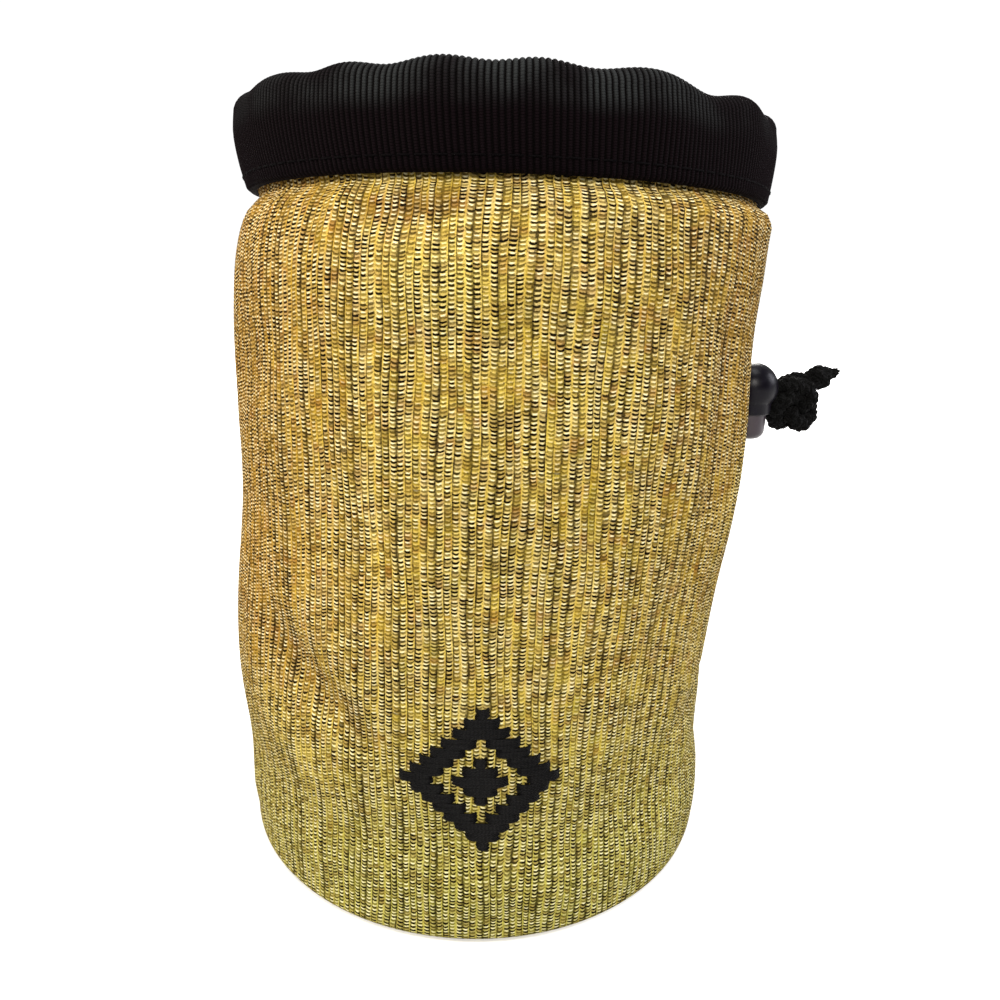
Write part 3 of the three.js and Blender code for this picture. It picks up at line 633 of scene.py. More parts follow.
def chenille_material(name):
    """Ribs built of small bars, with dark gaps of painted shade between the bars and between some ribs, and a
    painted highlight on the middle of each bar
    """
    s = Shader(name)
    across, along = s.cloth()
    rib = s.math("FLOOR", across)
    within = s.math("FRACT", across)
    off_crest = s.off(within)
    own = s.chance(rib)
    other = s.chance(s.add(rib, 0.37))
    place = s.place()

    def strand(length, seed, step=RIB_APART):
        """Noise along each rib by itself"""
        return s.noise(s.vector(s.mad(rib, step, seed), s.math("DIVIDE", along, length)), 1.0)

    def patch(ribs, length, seed):
        """Noise that some neighbouring ribs share"""
        return strand(length, seed, 1 / ribs)

    grain = s.noise(place, 2600.0, 2.0, 0.7)
    fuzz = s.noise(place, 1300.0, 2.0, 0.6)
    x, y, z = s.axes(place)

    # Where along its rib a bar lies: slanted, curved, and a little shorter higher up
    slant = s.mul(s.sub(within, 0.5), s.mad(other, 0.8, -0.4))
    slant = s.mad(s.math("POWER", off_crest, 2.0), -1.0, slant)
    rate = s.mad(along, BAR_GAIN / 2, BAR_RATE)
    step = s.add(s.mul(along, rate), s.add(own, slant))
    step = s.mad(strand(12.0, 3.1), 3.0, step)
    step = s.mad(fuzz, 0.45, step)
    off_gap = s.off(s.math("FRACT", step))
    row = s.mul(rib, 101.7)
    slit_chance = s.chance(s.add(row, s.math("FLOOR", step)))
    bar_chance = s.chance(s.add(row, s.add(s.math("ROUND", step), 0.31)))

    # How far across its rib from the dark side, which is the left or the right one
    side = s.math("GREATER_THAN", other, 0.5)
    from_rail = s.mad(grain, 0.24, s.off(within, side))
    from_rail = s.mad(s.sub(bar_chance, 0.5), 0.16, from_rail)

    contrast = s.mad(patch(2.4, 8.0, 9.7), 0.5, s.mul(strand(17.0, 5.9), 0.5))
    contrast = s.add(contrast, s.rise(z, 0.0, 0.07, 0.08, 0.0))
    depth = s.rise(contrast, 0.36, 0.54)
    # painted shade: near-black slits in the gaps between the bars
    slit = s.rise(off_gap, 0.15, 0.32, 1.0, 0.0)
    slit = s.mul(slit, s.rise(from_rail, 0.90, 1.04, 1.0, 0.0))
    gap_shade = s.mul(slit, s.mad(depth, 0.42, 0.58))
    gap_shade = s.mul(gap_shade, s.rise(slit_chance, 0.0, 0.6, 0.55, 1.0))

    # painted shade in the valley beside some ribs, on their dark side
    rail = s.rise(from_rail, 0.20, 0.40, 1.0, 0.0)
    open_rib = s.mul(s.rise(strand(6.0, 51.3), 0.40, 0.56), s.rise(depth, 0.0, 0.8, 0.4, 1.0))
    valley_shade = s.mul(rail, s.mad(open_rib, 0.46, 0.40))

    low = s.rise(z, 0.005, 0.075, 1.0, 0.0)
    fold = s.node("ShaderNodeAttribute", {}, attribute_name="fold").outputs["Fac"]
    # painted highlight on the middle of each bar
    bar_middle = s.mul(s.rise(off_gap, 0.22, 0.45), s.rise(off_crest, 0.12, 0.44, 1.0, 0.0))
    lit = s.mul(bar_middle, s.rise(bar_chance, 0.2, 0.9, 0.15, 0.85))
    layers = dict(
        yellow=s.rise(strand(9.0, 77.0), 0.40, 0.62),
        olive=s.rise(strand(11.0, 133.0), 0.52, 0.64, 0.0, 0.6),
        rust=s.rise(patch(1.8, 4.5, 201.0), 0.53, 0.68, 0.0, 0.7),
        brown=s.rise(patch(4.0, 6.0, 301.0), 0.52, 0.70, 0.0, 0.45),
        cream=s.mul(depth, s.rise(strand(8.0, 401.0), 0.44, 0.60, 0.15, 0.55)),
        green=s.mul(low, s.rise(y, -0.045, 0.01, 0.66, 0.32)),
        # painted side shade: darker and warmer towards the left side, less near the ground, and towards the
        # upper right side
        left_side_shade=s.mul(s.rise(x, -0.058, -0.005, 0.66, 0.0), s.mad(low, -0.85, 1.0)),
        right_side_shade=s.mul(s.rise(x, 0.018, 0.062), s.rise(z, 0.02, 0.13, 0.1, 0.66)),
        top_ochre=s.rise(z, 0.11, 0.15, 0.0, 0.12),
        # painted shade in the folds, stronger towards the top
        crease_shade=s.mul(s.rise(fold, 0.25, 1.7), s.rise(z, 0.10, 0.13, 0.36, 0.75)),
        # painted light where the cloth bulges out
        bulge_light=s.rise(fold, -0.9, -0.1, 0.4, 0.0),
        shade=s.rise(grain, 0.30, 0.54, 0.62, 0.0),
        lit_bar=s.mul(lit, s.mad(depth, 0.6, 0.4)),
        dull_bar=s.rise(bar_chance, 0.0, 0.4, 0.4, 0.0),
    )
    tone = rgb(*CHENILLE["straw"])
    for layer, share in layers.items():
        tone = s.mix(share, tone, rgb(*CHENILLE[layer]))

    knot = s.rise(patch(1.5, 1.7, 601.0), 0.64, 0.74, 0.0, 0.75)
    # painted shade of the slits and valleys, together with the dark knots
    dark = s.math("MAXIMUM", gap_shade, s.math("MAXIMUM", valley_shade, knot))
    ridge = s.mad(gap_shade, -1.0, s.mul(grain, 0.45))
    ridge = s.mad(valley_shade, -0.6, ridge)
    return s.finish(
        base_color=s.mix(dark, tone, rgb(*CHENILLE_GAP)),
        roughness=0.95,
        specular_ior_level=0.05,
        sheen_weight=0.03,
        sheen_roughness=0.5,
        sheen_tint=rgb(*CHENILLE_SHEEN),
        normal=s.bump(ridge, 0.26),
    )


def backing_material(name):
    """Brushed inner face of the cloth"""
    s = Shader(name)
    place = s.place()
    fine = s.noise(place, 1500.0, 3.0, 0.7)
    clump = s.noise(place, 190.0, 2.0)
    colour = s.mix(s.rise(clump, 0.3, 0.7), rgb(112, 101, 74), rgb(136, 124, 93))
    colour = s.mix(s.rise(fine, 0.35, 0.65, 0.35, 0.0), colour, rgb(78, 69, 47))
    height = s.mad(fine, 0.6, clump)
    return s.finish(
        base_color=colour,
        roughness=0.95,
        specular_ior_level=0.12,
        sheen_weight=0.35,
        sheen_roughness=0.6,
        normal=s.bump(height, 0.35, 0.8),
    )


def webbing_material(name, fold):
    """Black ribbed webbing: each rib is crossed by fine yarns, its crests carry a painted highlight, and at a
    fold they are worn grey, which is partly wear and partly painted highlight
    """
    s = Shader(name)
    across, along = s.cloth()
    rib = s.math("FLOOR", across)
    off_crest = s.off(s.math("FRACT", across))
    shift = s.mul(s.math("MODULO", rib, 2.0), 0.5)
    step = s.math("FRACT", s.add(s.math("DIVIDE", along, CROSS_PITCH), shift))
    yarn = s.rise(s.off(step), 0.22, 0.5, 1.0, 0.0)
    place = s.place()
    grain = s.noise(place, 3000.0, 2.0, 0.7)
    wear = s.noise(place, 90.0, 3.0)
    crest = s.rise(off_crest, 0.12, 0.45, 1.0, 0.0)
    # painted highlight on the crests of the ribs, painted shade in the valleys
    lit = s.mul(crest, s.mad(yarn, 0.6, 0.4))
    colour = s.mix(lit, rgb(1, 0, 0), rgb(15, 8, 11))
    # worn grey crests at the fold: partly wear, partly a painted highlight
    worn = s.mul(s.rise(along, fold[0], fold[1]), s.rise(along, fold[2], fold[3], 1.0, 0.0))
    worn = s.mul(worn, s.mul(crest, s.rise(wear, 0.35, 0.62, 0.1, 0.65)))
    # the painted highlight fades towards the bag's left and right sides
    aside = s.off(s.axes(place)[0], 0.0)
    worn = s.mul(worn, s.rise(aside, 0.022, 0.050, 1.0, 0.3))
    colour = s.mix(worn, colour, rgb(50, 53, 53))
    height = s.mad(yarn, 0.5, s.mad(crest, 0.5, s.mul(grain, 0.25)))
    return s.finish(
        base_color=colour,
        roughness=0.85,
        specular_ior_level=0.03,
        sheen_roughness=0.4,
        normal=s.bump(height, 0.16, 0.9),
    )


def weave_material(name, pitch, dark, light):
    """Plain woven cloth"""
    s = Shader(name)
    across, along = s.cloth()
    warp = s.math("SINE", s.mul(across, 2 * math.pi / pitch))
    weft = s.math("SINE", s.mul(along, 2 * math.pi / pitch))
    checks = s.mul(warp, weft)
    grain = s.noise(s.place(), 2200.0, 2.0, 0.7)
    height = s.mad(checks, 0.5, s.mul(grain, 0.5))
    colour = s.mix(s.rise(height, -0.4, 0.9), dark, light)
    return s.finish(
        base_color=colour,
        roughness=0.88,
        specular_ior_level=0.2,
        sheen_weight=0.1,
        normal=s.bump(height, 0.12, 0.8),
    )


def yarn_material(name, dark, light, roughness, sheen, twist, gloss):
    """Thread or yarn: fibres twisted round the run"""
    s = Shader(name)
    around, along = s.cloth()
    phase = s.add(around, s.math("DIVIDE", along, twist))
    grain = s.noise(s.place(), 2800.0, 2.0, 0.75)
    fibre = s.math("SINE", s.mul(phase, 2 * math.pi * 3))
    height = s.mad(fibre, 0.35, grain)
    colour = s.mix(s.rise(height, 0.2, 0.95), dark, light)
    return s.finish(
        base_color=colour,
        roughness=roughness,
        specular_ior_level=gloss,
        sheen_weight=sheen,
        sheen_roughness=0.45,
        normal=s.bump(height, 0.08, 0.8),
    )


def hard_material(name, colour, worn, roughness, gloss):
    """Moulded plastic or painted metal with faint scuffs"""
    s = Shader(name)
    place = s.place()
    scuff = s.noise(place, 420.0, 4.0, 0.7)
    peel = s.noise(place, 900.0, 2.0)
    tone = s.mix(s.rise(scuff, 0.55, 0.8, 0.0, 0.6), colour, worn)
    rough = s.rise(scuff, 0.3, 0.8, roughness, roughness + 0.14)
    return s.finish(
        base_color=tone,
        roughness=rough,
        specular_ior_level=gloss,
        normal=s.bump(peel, 0.02, 0.35),
    )


def body_cloth(materials):
    """The bag's wall: ribbed chenille outside and its brushed face inside, closed at both edges"""
    chance = np.random.default_rng(11)
    skin = Skin()
    columns = RIBS * RIB_COLUMNS
    turn = 2 * math.pi * np.arange(CORNER_POINTS) / (CORNER_POINTS - 1)
    corner = [(CORNER * (1 - math.cos(t)), -CORNER * (1 - math.sin(t))) for t in turn / 4]
    heights = np.linspace(CORNER, BODY_HEIGHT - TUCK, BODY_ROWS)
    tucked = [BODY_HEIGHT - 0.6 * TUCK, BODY_HEIGHT - 0.35 * TUCK, BODY_HEIGHT - FIT_GAP]
    height = np.concatenate([[h for h, _ in corner], heights[1:], tucked, [BODY_HEIGHT + RIM_HEIGHT / 3]])
    inset = np.concatenate([[o for _, o in corner], np.zeros(len(height) - len(corner))])
    rib = np.arange(columns) / RIB_COLUMNS
    wander = 0
    for row in RIB_WANDER:
        phase = 2 * math.pi * height[:, None] / row["length"] + rib * row["shift"]
        wander = wander + row["by"] * np.sin(phase)
    angle = upright(180 + (rib + 0.5 + wander) * 360 / RIBS, height[:, None])
    across = rib % 1
    strength = np.repeat(chance.uniform(0.72, 1.25, RIBS), RIB_COLUMNS)
    swell = 1 + 0.3 * np.sin(2 * math.pi * height[:, None] / 31 + 2.4 * np.floor(rib))
    bare = smoothstep(height, CORNER * 0.5, CORNER * 3) * smoothstep(BODY_HEIGHT - height, FIT_GAP, TUCK)
    relief = RIB_RELIEF * (np.sin(math.pi * across) - 0.6) * strength * swell
    seam = SEAM * np.exp(-((np.radians(turn_from(180, angle)) * BODY_RADIUS / SEAM) ** 2))
    off = inset[:, None] + (relief - seam) * bare[:, None]
    outer = on_wall(angle, height[:, None], off)
    outer[0, :, 2] = 0
    steps = np.linalg.norm(np.diff(outer, axis=0), axis=2).mean(axis=1)
    along = np.concatenate([[0], np.cumsum(steps)])
    outer_ids = skin.sheet(outer, np.arange(columns + 1) / RIB_COLUMNS, along)
    folds = fold_depth(angle, height[:, None]).ravel()

    top = BODY_HEIGHT + RIM_HEIGHT / 3
    down = np.concatenate([[top, BODY_HEIGHT], np.linspace(BODY_HEIGHT - TUCK, 0, INNER_ROWS)])
    inner_angle = 180 + (np.arange(RIBS) + 0.5) * 360 / RIBS
    inner = on_wall(inner_angle, down[:, None], -WALL)
    inner_ids = skin.sheet(inner, np.arange(RIBS + 1.0), down, 1)
    for fine, coarse, flip in [(outer_ids[-1], inner_ids[0], False), (outer_ids[0], inner_ids[-1], True)]:
        join_rings(skin, fine, coarse, flip)
    piece = skin.build("body_cloth", materials, sharp=70)
    # fold depth, from which the chenille paints shade in the folds and light on the bulges
    layer = piece.data.attributes.new("fold", "FLOAT", "POINT")
    depth = np.zeros(len(piece.data.vertices), np.float32)
    depth[: len(folds)] = folds
    layer.data.foreach_set("value", depth)
    return piece


def join_rings(skin, fine, coarse, flip):
    """Strip between a ring and another with a whole share of its points"""
    many = len(fine) // len(coarse)
    ahead = np.roll(coarse, -1)
    faces = []
    for k in range(many):
        here = fine[k::many]
        onward = np.roll(fine, -1)[k::many]
        faces.append(np.stack([here, onward, coarse if k < many // 2 else ahead], axis=-1))
    half = fine[many // 2 :: many]
    faces.append(np.stack([half, ahead, coarse], axis=-1))
    faces = np.concatenate(faces)
    skin.face(faces[:, ::-1] if flip else faces, slot=1)


def base_cloth(materials):
    """Flat round of the same cloth, a little hollow under its middle"""
    skin = Skin()
    angle = 180 + (np.arange(RIBS) + 0.5) * 360 / RIBS
    edge = on_wall(angle, 0.0, -WALL - FIT_GAP)
    middle = np.append(wall_centre(np.zeros(1))[0][:2], 0)
    shares = np.array([0.03, 0.15, 0.3, 0.45, 0.6, 0.72, 0.82, 0.9, 0.95, 0.98, 0.992])
    rows = [(share, BASE_HOLLOW * (1 - share**2)) for share in shares]
    rows += [(1, BASE_ROUNDING), (1, BASE_THICKNESS - BASE_ROUNDING)]
    rows += [(share, BASE_THICKNESS) for share in shares[::-1]]
    grid = np.array([middle + (edge - middle) * share for share, _ in rows])
    grid[..., 2] = np.array([[height] for _, height in rows])
    ids = skin.put(grid).reshape(grid.shape[:2])
    wrapped = np.concatenate([grid, grid[:, :1]], axis=1)
    pitch = 2 * math.pi * BODY_RADIUS / RIBS
    marks = np.stack([wrapped[..., 0] / pitch, wrapped[..., 1]], axis=-1)
    half = len(shares) + 1
    skin.grid(ids[: half + 1], marks[: half + 1], 0, closed=True)
    skin.grid(ids[half:], marks[half:], 1, closed=True)
    skin.fan(ids[0], middle + [0, 0, BASE_HOLLOW], (0, 0), 0, flip=True)
    skin.fan(ids[-1], middle + [0, 0, BASE_THICKNESS], (0, 0), 1)
    return skin.build("base_cloth", materials)


def rim_webbing(material):
    """Webbing folded over the cloth's edge, with a slot for the cloth"""
    skin = Skin()
    columns = RIM_RIBS * RIB_COLUMNS
    rib = np.arange(columns) / RIB_COLUMNS
    angle = 180 + rib * 360 / RIM_RIBS
    spring = rim_spring(angle)
    half = BINDING / 2
    edge = CUT_EDGE
    slot = WALL / 2 + 0.1
    section = []
    for share in np.linspace(0, 1, RIM_POINTS):
        section.append((share, 0.0, half - (edge if share == 0 else 0), share * RIM_HEIGHT))
        if share == 0:
            section.append((0, edge, half, edge))
    for turn in np.linspace(0, math.pi, RIM_TURN_POINTS)[1:-1]:
        section.append((1, half * math.sin(turn), half * math.cos(turn), RIM_HEIGHT + half * turn))
    past = RIM_HEIGHT + half * math.pi
    for share in np.linspace(1, 0, RIM_POINTS):
        if share == 0:
            section.append((0, edge, -half, past + RIM_HEIGHT - edge))
        section.append((share, 0.0, -half + (edge if share == 0 else 0), past + (1 - share) * RIM_HEIGHT))
    far = section[-1][3]
    section += [(0, 0, -slot, far + 1), (0.5, 0, -slot, far + 9), (1, 0, -slot, far + 17)]
    section += [(1, 0, slot, far + 19), (0.5, 0, slot, far + 27), (0, 0, slot, far + 35)]

    crest = np.sin(math.pi * (rib % 1)) ** CREST_EXPONENT - RIM_VALLEY
    rows = []
    run = []
    for k, (share, lift, off, along) in enumerate(section):
        height = BODY_HEIGHT + share * (spring - BODY_HEIGHT) + lift
        low = np.minimum(height, spring)
        shown = k < len(section) - SLOT_ROWS
        relief = RIM_RELIEF * crest * shown
        lean = math.cos(math.atan2(lift, off)) if share == 1 and shown else math.copysign(1, off)
        rise = math.sin(math.atan2(lift, off)) if share == 1 and shown else 0.0
        point = wall_centre(low) + outward(angle) * (rim_middle(angle, low) + off + relief * lean)[:, None]
        point[:, 2] = height + relief * rise
        rows.append(point)
        run.append(along)
    skin.sheet(rows, np.arange(columns + 1) / RIB_COLUMNS, np.append(run, run[-1] + 2), looped=True)
    return skin.build("rim_webbing", [material], sharp=75)


def rim_face(angle, height, off, inside=False):
    """Point off the binding's outer or inner face"""
    radius = rim_middle(angle, height) + (-1 if inside else 1) * (BINDING / 2 + off)
    return wall_centre(height) + outward(angle) * radius[..., None]


def rim_stitches(material):
    """Lockstitch along the binding's lower edge, outside and inside"""
    skin = Skin()
    share = np.linspace(-1, 1, STITCH_POINTS)
    rise = STITCH_LIFT * (1 - share**4) - 0.7 * STITCH_RADIUS + 0.06
    height = np.full(STITCH_POINTS, BODY_HEIGHT + STITCH_UP)
    for inside in (False, True):
        for k in range(STITCHES):
            at = (k + 0.5 + share * STITCH_SHARE / 2) / STITCHES
            skin.tube(rim_face(at * 360, height, rise, inside), STITCH_RADIUS, 6)
    return skin.build("rim_stitches", [material])


def cord_channel(material):
    """Tunnel of plain cloth inside the wall, a little gathered by the cord"""
    skin = Skin()
    angle = np.arange(CHANNEL_COLUMNS) * 360 / CHANNEL_COLUMNS
    gather = gathers(CHANNEL_GATHERS, angle)
    rows = []
    for t in circle(CHANNEL_STEPS):
        up = CHANNEL_HEIGHT / 2 * math.copysign(abs(math.sin(t)) ** 0.7, math.sin(t))
        hollow = 1 - (1 + math.cos(t)) / 2
        off = -WALL - FIT_GAP - CHANNEL_THICKNESS * hollow**0.8
        rows.append(on_wall(angle, CORD_HEIGHT + up, off + gather * hollow * 0.6))
    run = np.arange(CHANNEL_STEPS + 1) / CHANNEL_STEPS * 2 * CHANNEL_HEIGHT
    around = np.arange(CHANNEL_COLUMNS + 1) * 2 * math.pi * BODY_RADIUS / CHANNEL_COLUMNS
    skin.sheet(rows, around, run, looped=True)
    return skin.build("channel_cloth", [material], sharp=60)


def loop_place():
    """Middle of the belt loop and the plane of the belt's far face"""
    top = BODY_HEIGHT - LOOP_BELOW_RIM
    middle = wall_centre(np.array([top - LOOP_HEIGHT / 2]))[0][0]
    standing = [row["run"] for row in LOOP_RUN if row["lift"] == 1]
    far = max(loop_wall(middle, top - run * LOOP_HEIGHT) for run in standing) + LOOP_SPACE
    return top, middle, far


def loop_wall(x, height):
    """How far back the bag's wall stands at this place"""
    height = np.asarray(height, float)
    centre = wall_centre(height)
    radius = wall_radius(np.full(height.shape, 180.0), height)
    angle = 180 - np.degrees(np.arcsin((x - centre[..., 0]) / radius))
    return on_wall(angle, height)[..., 1]


def loop_surface(x, run, off):
    """Point on the belt loop, off its middle line by x and off its inner face by off"""
    top, middle, far = loop_place()
    height = top - run * LOOP_HEIGHT
    lift = sum(from_table(LOOP_RUN, "run", "lift", run + shift) for shift in LOOP_EASE) / len(LOOP_EASE)
    wall = loop_wall(middle + x, height) + FIT_GAP
    y = wall + (far - wall) * np.clip(lift, 0, 1)
    return np.stack(np.broadcast_arrays(middle + x, y + off, height), axis=-1)


def belt_loop(material):
    """Strap of webbing with ribs across it"""
    skin = Skin()
    rows = int(LOOP_HEIGHT / LOOP_RIB) * RIB_COLUMNS
    run = np.linspace(0, 1, rows + 1)
    rib = run * rows / RIB_COLUMNS
    crest = LOOP_RELIEF * (np.sin(math.pi * (rib % 1)) ** CREST_EXPONENT - LOOP_VALLEY)
    half = LOOP_WIDTH / 2
    edge = 0.5
    xs = np.concatenate([[-half, -half + edge], np.linspace(-half + 2, half - 2, 12), [half - edge, half]])
    outer = [(x, LOOP_THICKNESS - (edge if abs(x) == half else 0)) for x in xs]
    inner = [(x, edge if abs(x) == half else 0.0) for x in xs[::-1]]
    section = outer + inner
    grid = []
    for x, off in section:
        relief = crest if off > LOOP_THICKNESS / 2 else -crest
        grid.append(loop_surface(x, run, off + relief))
    grid = np.array(grid).transpose(1, 0, 2)
    ids = skin.put(grid).reshape(grid.shape[:2])
    along = run_of(np.array(section))
    along = np.append(along, along[-1] + LOOP_THICKNESS)
    marks = np.stack(np.broadcast_arrays(rib[:, None], along[None, :]), axis=-1)
    skin.grid(ids, marks, 0, closed=True)
    skin.fan(ids[0], grid[0].mean(axis=0), (0, 0), 0, flip=True)
    skin.fan(ids[-1], grid[-1].mean(axis=0), (0, 0), 0)
    return skin.build("loop_strap", [material], sharp=70)


def loop_tacks(material):
    """Bar tacks that sew the belt loop on, two at each end"""
    skin = Skin()
    x = np.linspace(-LOOP_WIDTH * 0.42, LOOP_WIDTH * 0.42, ZIGZAGS)
    swing = 1.0 / LOOP_HEIGHT * np.where(np.arange(ZIGZAGS) % 2, 1, -1)
    for run in TACK_RUNS:
        path = loop_surface(x, run + swing, LOOP_THICKNESS + 0.16)
        skin.tube(even_steps(path, 0.35), 0.2, 6)
    return skin.build("loop_tacks", [material])


def motif_threads(name, first, last, material):
    """Satin stitches across a ring of square steps, laid on the wall"""
    chance = np.random.default_rng(5 + last)
    skin = Skin()
    degrees = math.degrees(1 / BODY_RADIUS)
    for j in range(-last, last + 1):
        cells = [i for i in range(-last, last + 1) if first <= abs(i) + abs(j) <= last]
        runs = []
        for i in cells:
            if runs and runs[-1][1] == i - 1:
                runs[-1][1] = i
            else:
                runs.append([i, i])
        for start, stop in runs:
            for k in range(THREADS):
                left = (start - 0.5) * MOTIF_STEP - chance.uniform(0, 0.25)
                right = (stop + 0.5) * MOTIF_STEP + chance.uniform(0, 0.25)
                steps = max(int((right - left) / 0.55), 5)
                share = np.linspace(0, 1, steps + 1)
                x = left + (right - left) * share
                rise = (j - 0.5 + (k + 0.5) / THREADS) * MOTIF_STEP + chance.uniform(-0.03, 0.03)
                dome = 1 - (2 * share - 1) ** 6
                off = 0.05 + 0.78 * dome + chance.uniform(-0.04, 0.04)
                angle = MOTIF_ANGLE + x * degrees
                path = on_wall(angle, MOTIF_HEIGHT + rise, off)
                skin.tube(path, THREAD_RADIUS, 6, up=outward(angle))
    return skin.build(name, [material])


def turned(skin, profile, sides, axis, looped=False):
    """Solid of revolution: profile is a list of (radius, place along the axis)"""
    profile = np.array(profile, float)
    turn = circle(sides)
    round_x, round_y = profile[:, :1] * np.cos(turn), profile[:, :1] * np.sin(turn)
    along = profile[:, 1:] + 0 * turn
    parts = {"z": [round_x, round_y, along], "x": [along, round_x, round_y]}[axis]
    run = np.arange(len(profile) + looped)
    return skin.sheet(np.stack(parts, axis=-1), np.arange(sides + 1) / sides, run, looped=looped)


def arc(middle, radius, start, stop, steps):
    """Points of an arc, from one angle in degrees to another"""
    turn = np.radians(np.linspace(start, stop, steps))
    return [(middle[0] + radius * math.cos(t), middle[1] + radius * math.sin(t)) for t in turn]


def cord_matrix(out=0.0):
    """Place of the cord's own axes: X away from the wall, from the point where it leaves it"""
    place = on_wall(CORD_ANGLE, CORD_HEIGHT)
    turn = Matrix.Rotation(math.radians(CORD_ANGLE - 90), 4, "Z")
    return Matrix.Translation(Vector(place) * MM) @ turn @ Matrix.Translation((out * MM, 0, 0))


def settle(piece, matrix):
    """Moves a piece's mesh, so that its object stays at the origin"""
    piece.data.transform(matrix)
    return piece


def eyelet(material):
    skin = Skin()
    round_off = EYELET_FLANGE / 2
    top = FIT_GAP + EYELET_FLANGE
    profile = [(CORD_BORE, -WALL), (EYELET_BARREL, -WALL), (EYELET_BARREL, FIT_GAP), (EYELET_RADIUS, FIT_GAP)]
    profile += arc((EYELET_RADIUS - round_off, top - round_off), round_off, 0, 90, 6)
    profile += arc((CORD_BORE + round_off * 1.6, top - round_off * 1.6), round_off * 1.6, 90, 180, 8)
    turned(skin, profile, 72, "x", looped=True)
    return settle(skin.build("eyelet_ring", [material], sharp=50), cord_matrix())


def cut_or_join(piece, other, operation):
    """Applies a boolean with another piece, which is then removed"""
    modifier = piece.modifiers.new("cut", "BOOLEAN")
    modifier.operation = operation
    modifier.object = other
    modifier.solver = "EXACT"
    depsgraph = bpy.context.evaluated_depsgraph_get()
    mesh = bpy.data.meshes.new_from_object(piece.evaluated_get(depsgraph))
    piece.modifiers.clear()
    old = piece.data
    piece.data = mesh
    mesh.name = piece.name
    bpy.data.meshes.remove(old)
    bpy.data.objects.remove(other)


def capped(name, profile, material, sharp=40):
    """Closed turned piece about Z whose profile ends near the axis"""
    skin = Skin()
    ids = turned(skin, profile, ROUND, "z")
    skin.fan(ids[0], (0, 0, profile[0][1]), (0, 0), flip=True)
    skin.fan(ids[-1], (0, 0, profile[-1][1]), (0, 0))
    return skin.build(name, [material], sharp)


def lock_ball(material):
    """Ball of the cord lock with its collar, bored for the cord and the button"""
    skin = Skin()
    lip = 0.5
    mouth = CORD_BORE + lip
    reach = math.sqrt((LOCK_RADIUS - lip) ** 2 - mouth**2)
    swing = math.degrees(math.atan2(mouth, reach))
    outline = [(r, x) for x, r in arc((0, 0), LOCK_RADIUS, 180 - swing, swing, 49)]
    right_lip = [(r, x) for x, r in arc((reach, mouth), lip, swing, -90, 7)]
    left_lip = [(r, x) for x, r in arc((-reach, mouth), lip, 270, 180 - swing, 7)]
    profile = left_lip[:-1] + outline + right_lip[1:]
    turned(skin, profile, ROUND, "x", looped=True)
    ball = skin.build("lock_ball", [material], sharp=45)

    round_off = 0.45
    foot = -COLLAR_DEPTH
    collar_profile = arc((COLLAR_RADIUS - round_off, foot + round_off), round_off, -90, 0, 6)
    collar_profile += [(COLLAR_RADIUS, -CORD_RADIUS)]
    collar = capped("collar", collar_profile, material)
    cut_or_join(ball, collar, "UNION")
    shaft_radius = BUTTON_RADIUS + BUTTON_CLEARANCE
    ceiling = -CORD_BORE + BUTTON_CLEARANCE
    wide = shaft_radius + 0.5
    shaft_profile = [(wide, foot - 1), (wide, foot - 0.1)]
    shaft_profile += [(shaft_radius, foot + 0.4), (shaft_radius, ceiling)]
    shaft = capped("shaft", shaft_profile, material)
    cut_or_join(ball, shaft, "DIFFERENCE")
    mesh = ball.data
    mesh.shade_smooth()
    mesh.set_sharp_from_angle(angle=math.radians(38))
    return settle(ball, cord_matrix(LOCK_STANDOFF))


def lock_button(material):
    """Sprung button with a rounded end and a shallow thumb dish"""
    top = -CORD_BORE - BUTTON_TRAVEL
    end = -BUTTON_REACH
    dish = 0.25
    flat = BUTTON_RADIUS - BUTTON_ROUNDING
    profile = [(0.05, end + dish), (flat * 0.5, end + dish * 0.75), (flat * 0.85, end + 0.08)]
    profile += arc((flat, end + BUTTON_ROUNDING), BUTTON_ROUNDING, -90, 0, 14)
    profile += [(BUTTON_RADIUS, foot) for foot in np.linspace(end + BUTTON_ROUNDING + 0.8, top - 0.3, 4)]
    profile += [(BUTTON_RADIUS - 0.3, top), (0.05, top)]
    return settle(capped("lock_plunger", profile, material, 45), cord_matrix(LOCK_STANDOFF))


def cord_route():
    """Middle line of the cord from the wall through the lock, the knot and the tail, about its exit"""
    knot = np.array([LOCK_STANDOFF + KNOT_OUT, 0, -KNOT_DROP])
    neck = LOCK_RADIUS - KNOT_OUT
    points = [(-WALL, 0, 0), (0, 0, 0), (LOCK_STANDOFF / 2, 0, 0), (LOCK_STANDOFF, 0, 0)]
    points += [tuple(knot + [neck, 0, KNOT_DROP])]
    lead_up = KNOT_DROP + KNOT_SWING * KNOT_LEAD["rise"]
    points += [tuple(knot + [neck * KNOT_LEAD["out"], KNOT_SWING * KNOT_LEAD["side"], lead_up])]
    for t in np.linspace(2 * math.pi - KNOT_OPENING, KNOT_OPENING, KNOT_POINTS + 1):
        radius = KNOT_RING + KNOT_SWING * math.cos(KNOT_LOBES * t)
        turn = math.pi / 2 + KNOT_TURNS * t
        depth = KNOT_SWING * math.sin(KNOT_LOBES * t)
        points.append(tuple(knot + [radius * math.cos(turn), depth, radius * math.sin(turn)]))
    for row in TAIL:
        points.append(tuple(knot + [TAIL_OUT * row["out"], KNOT_SWING * row["side"], TAIL_UP * row["up"]]))
    return even_steps(smooth_route(points, 12), CORD_STEP)


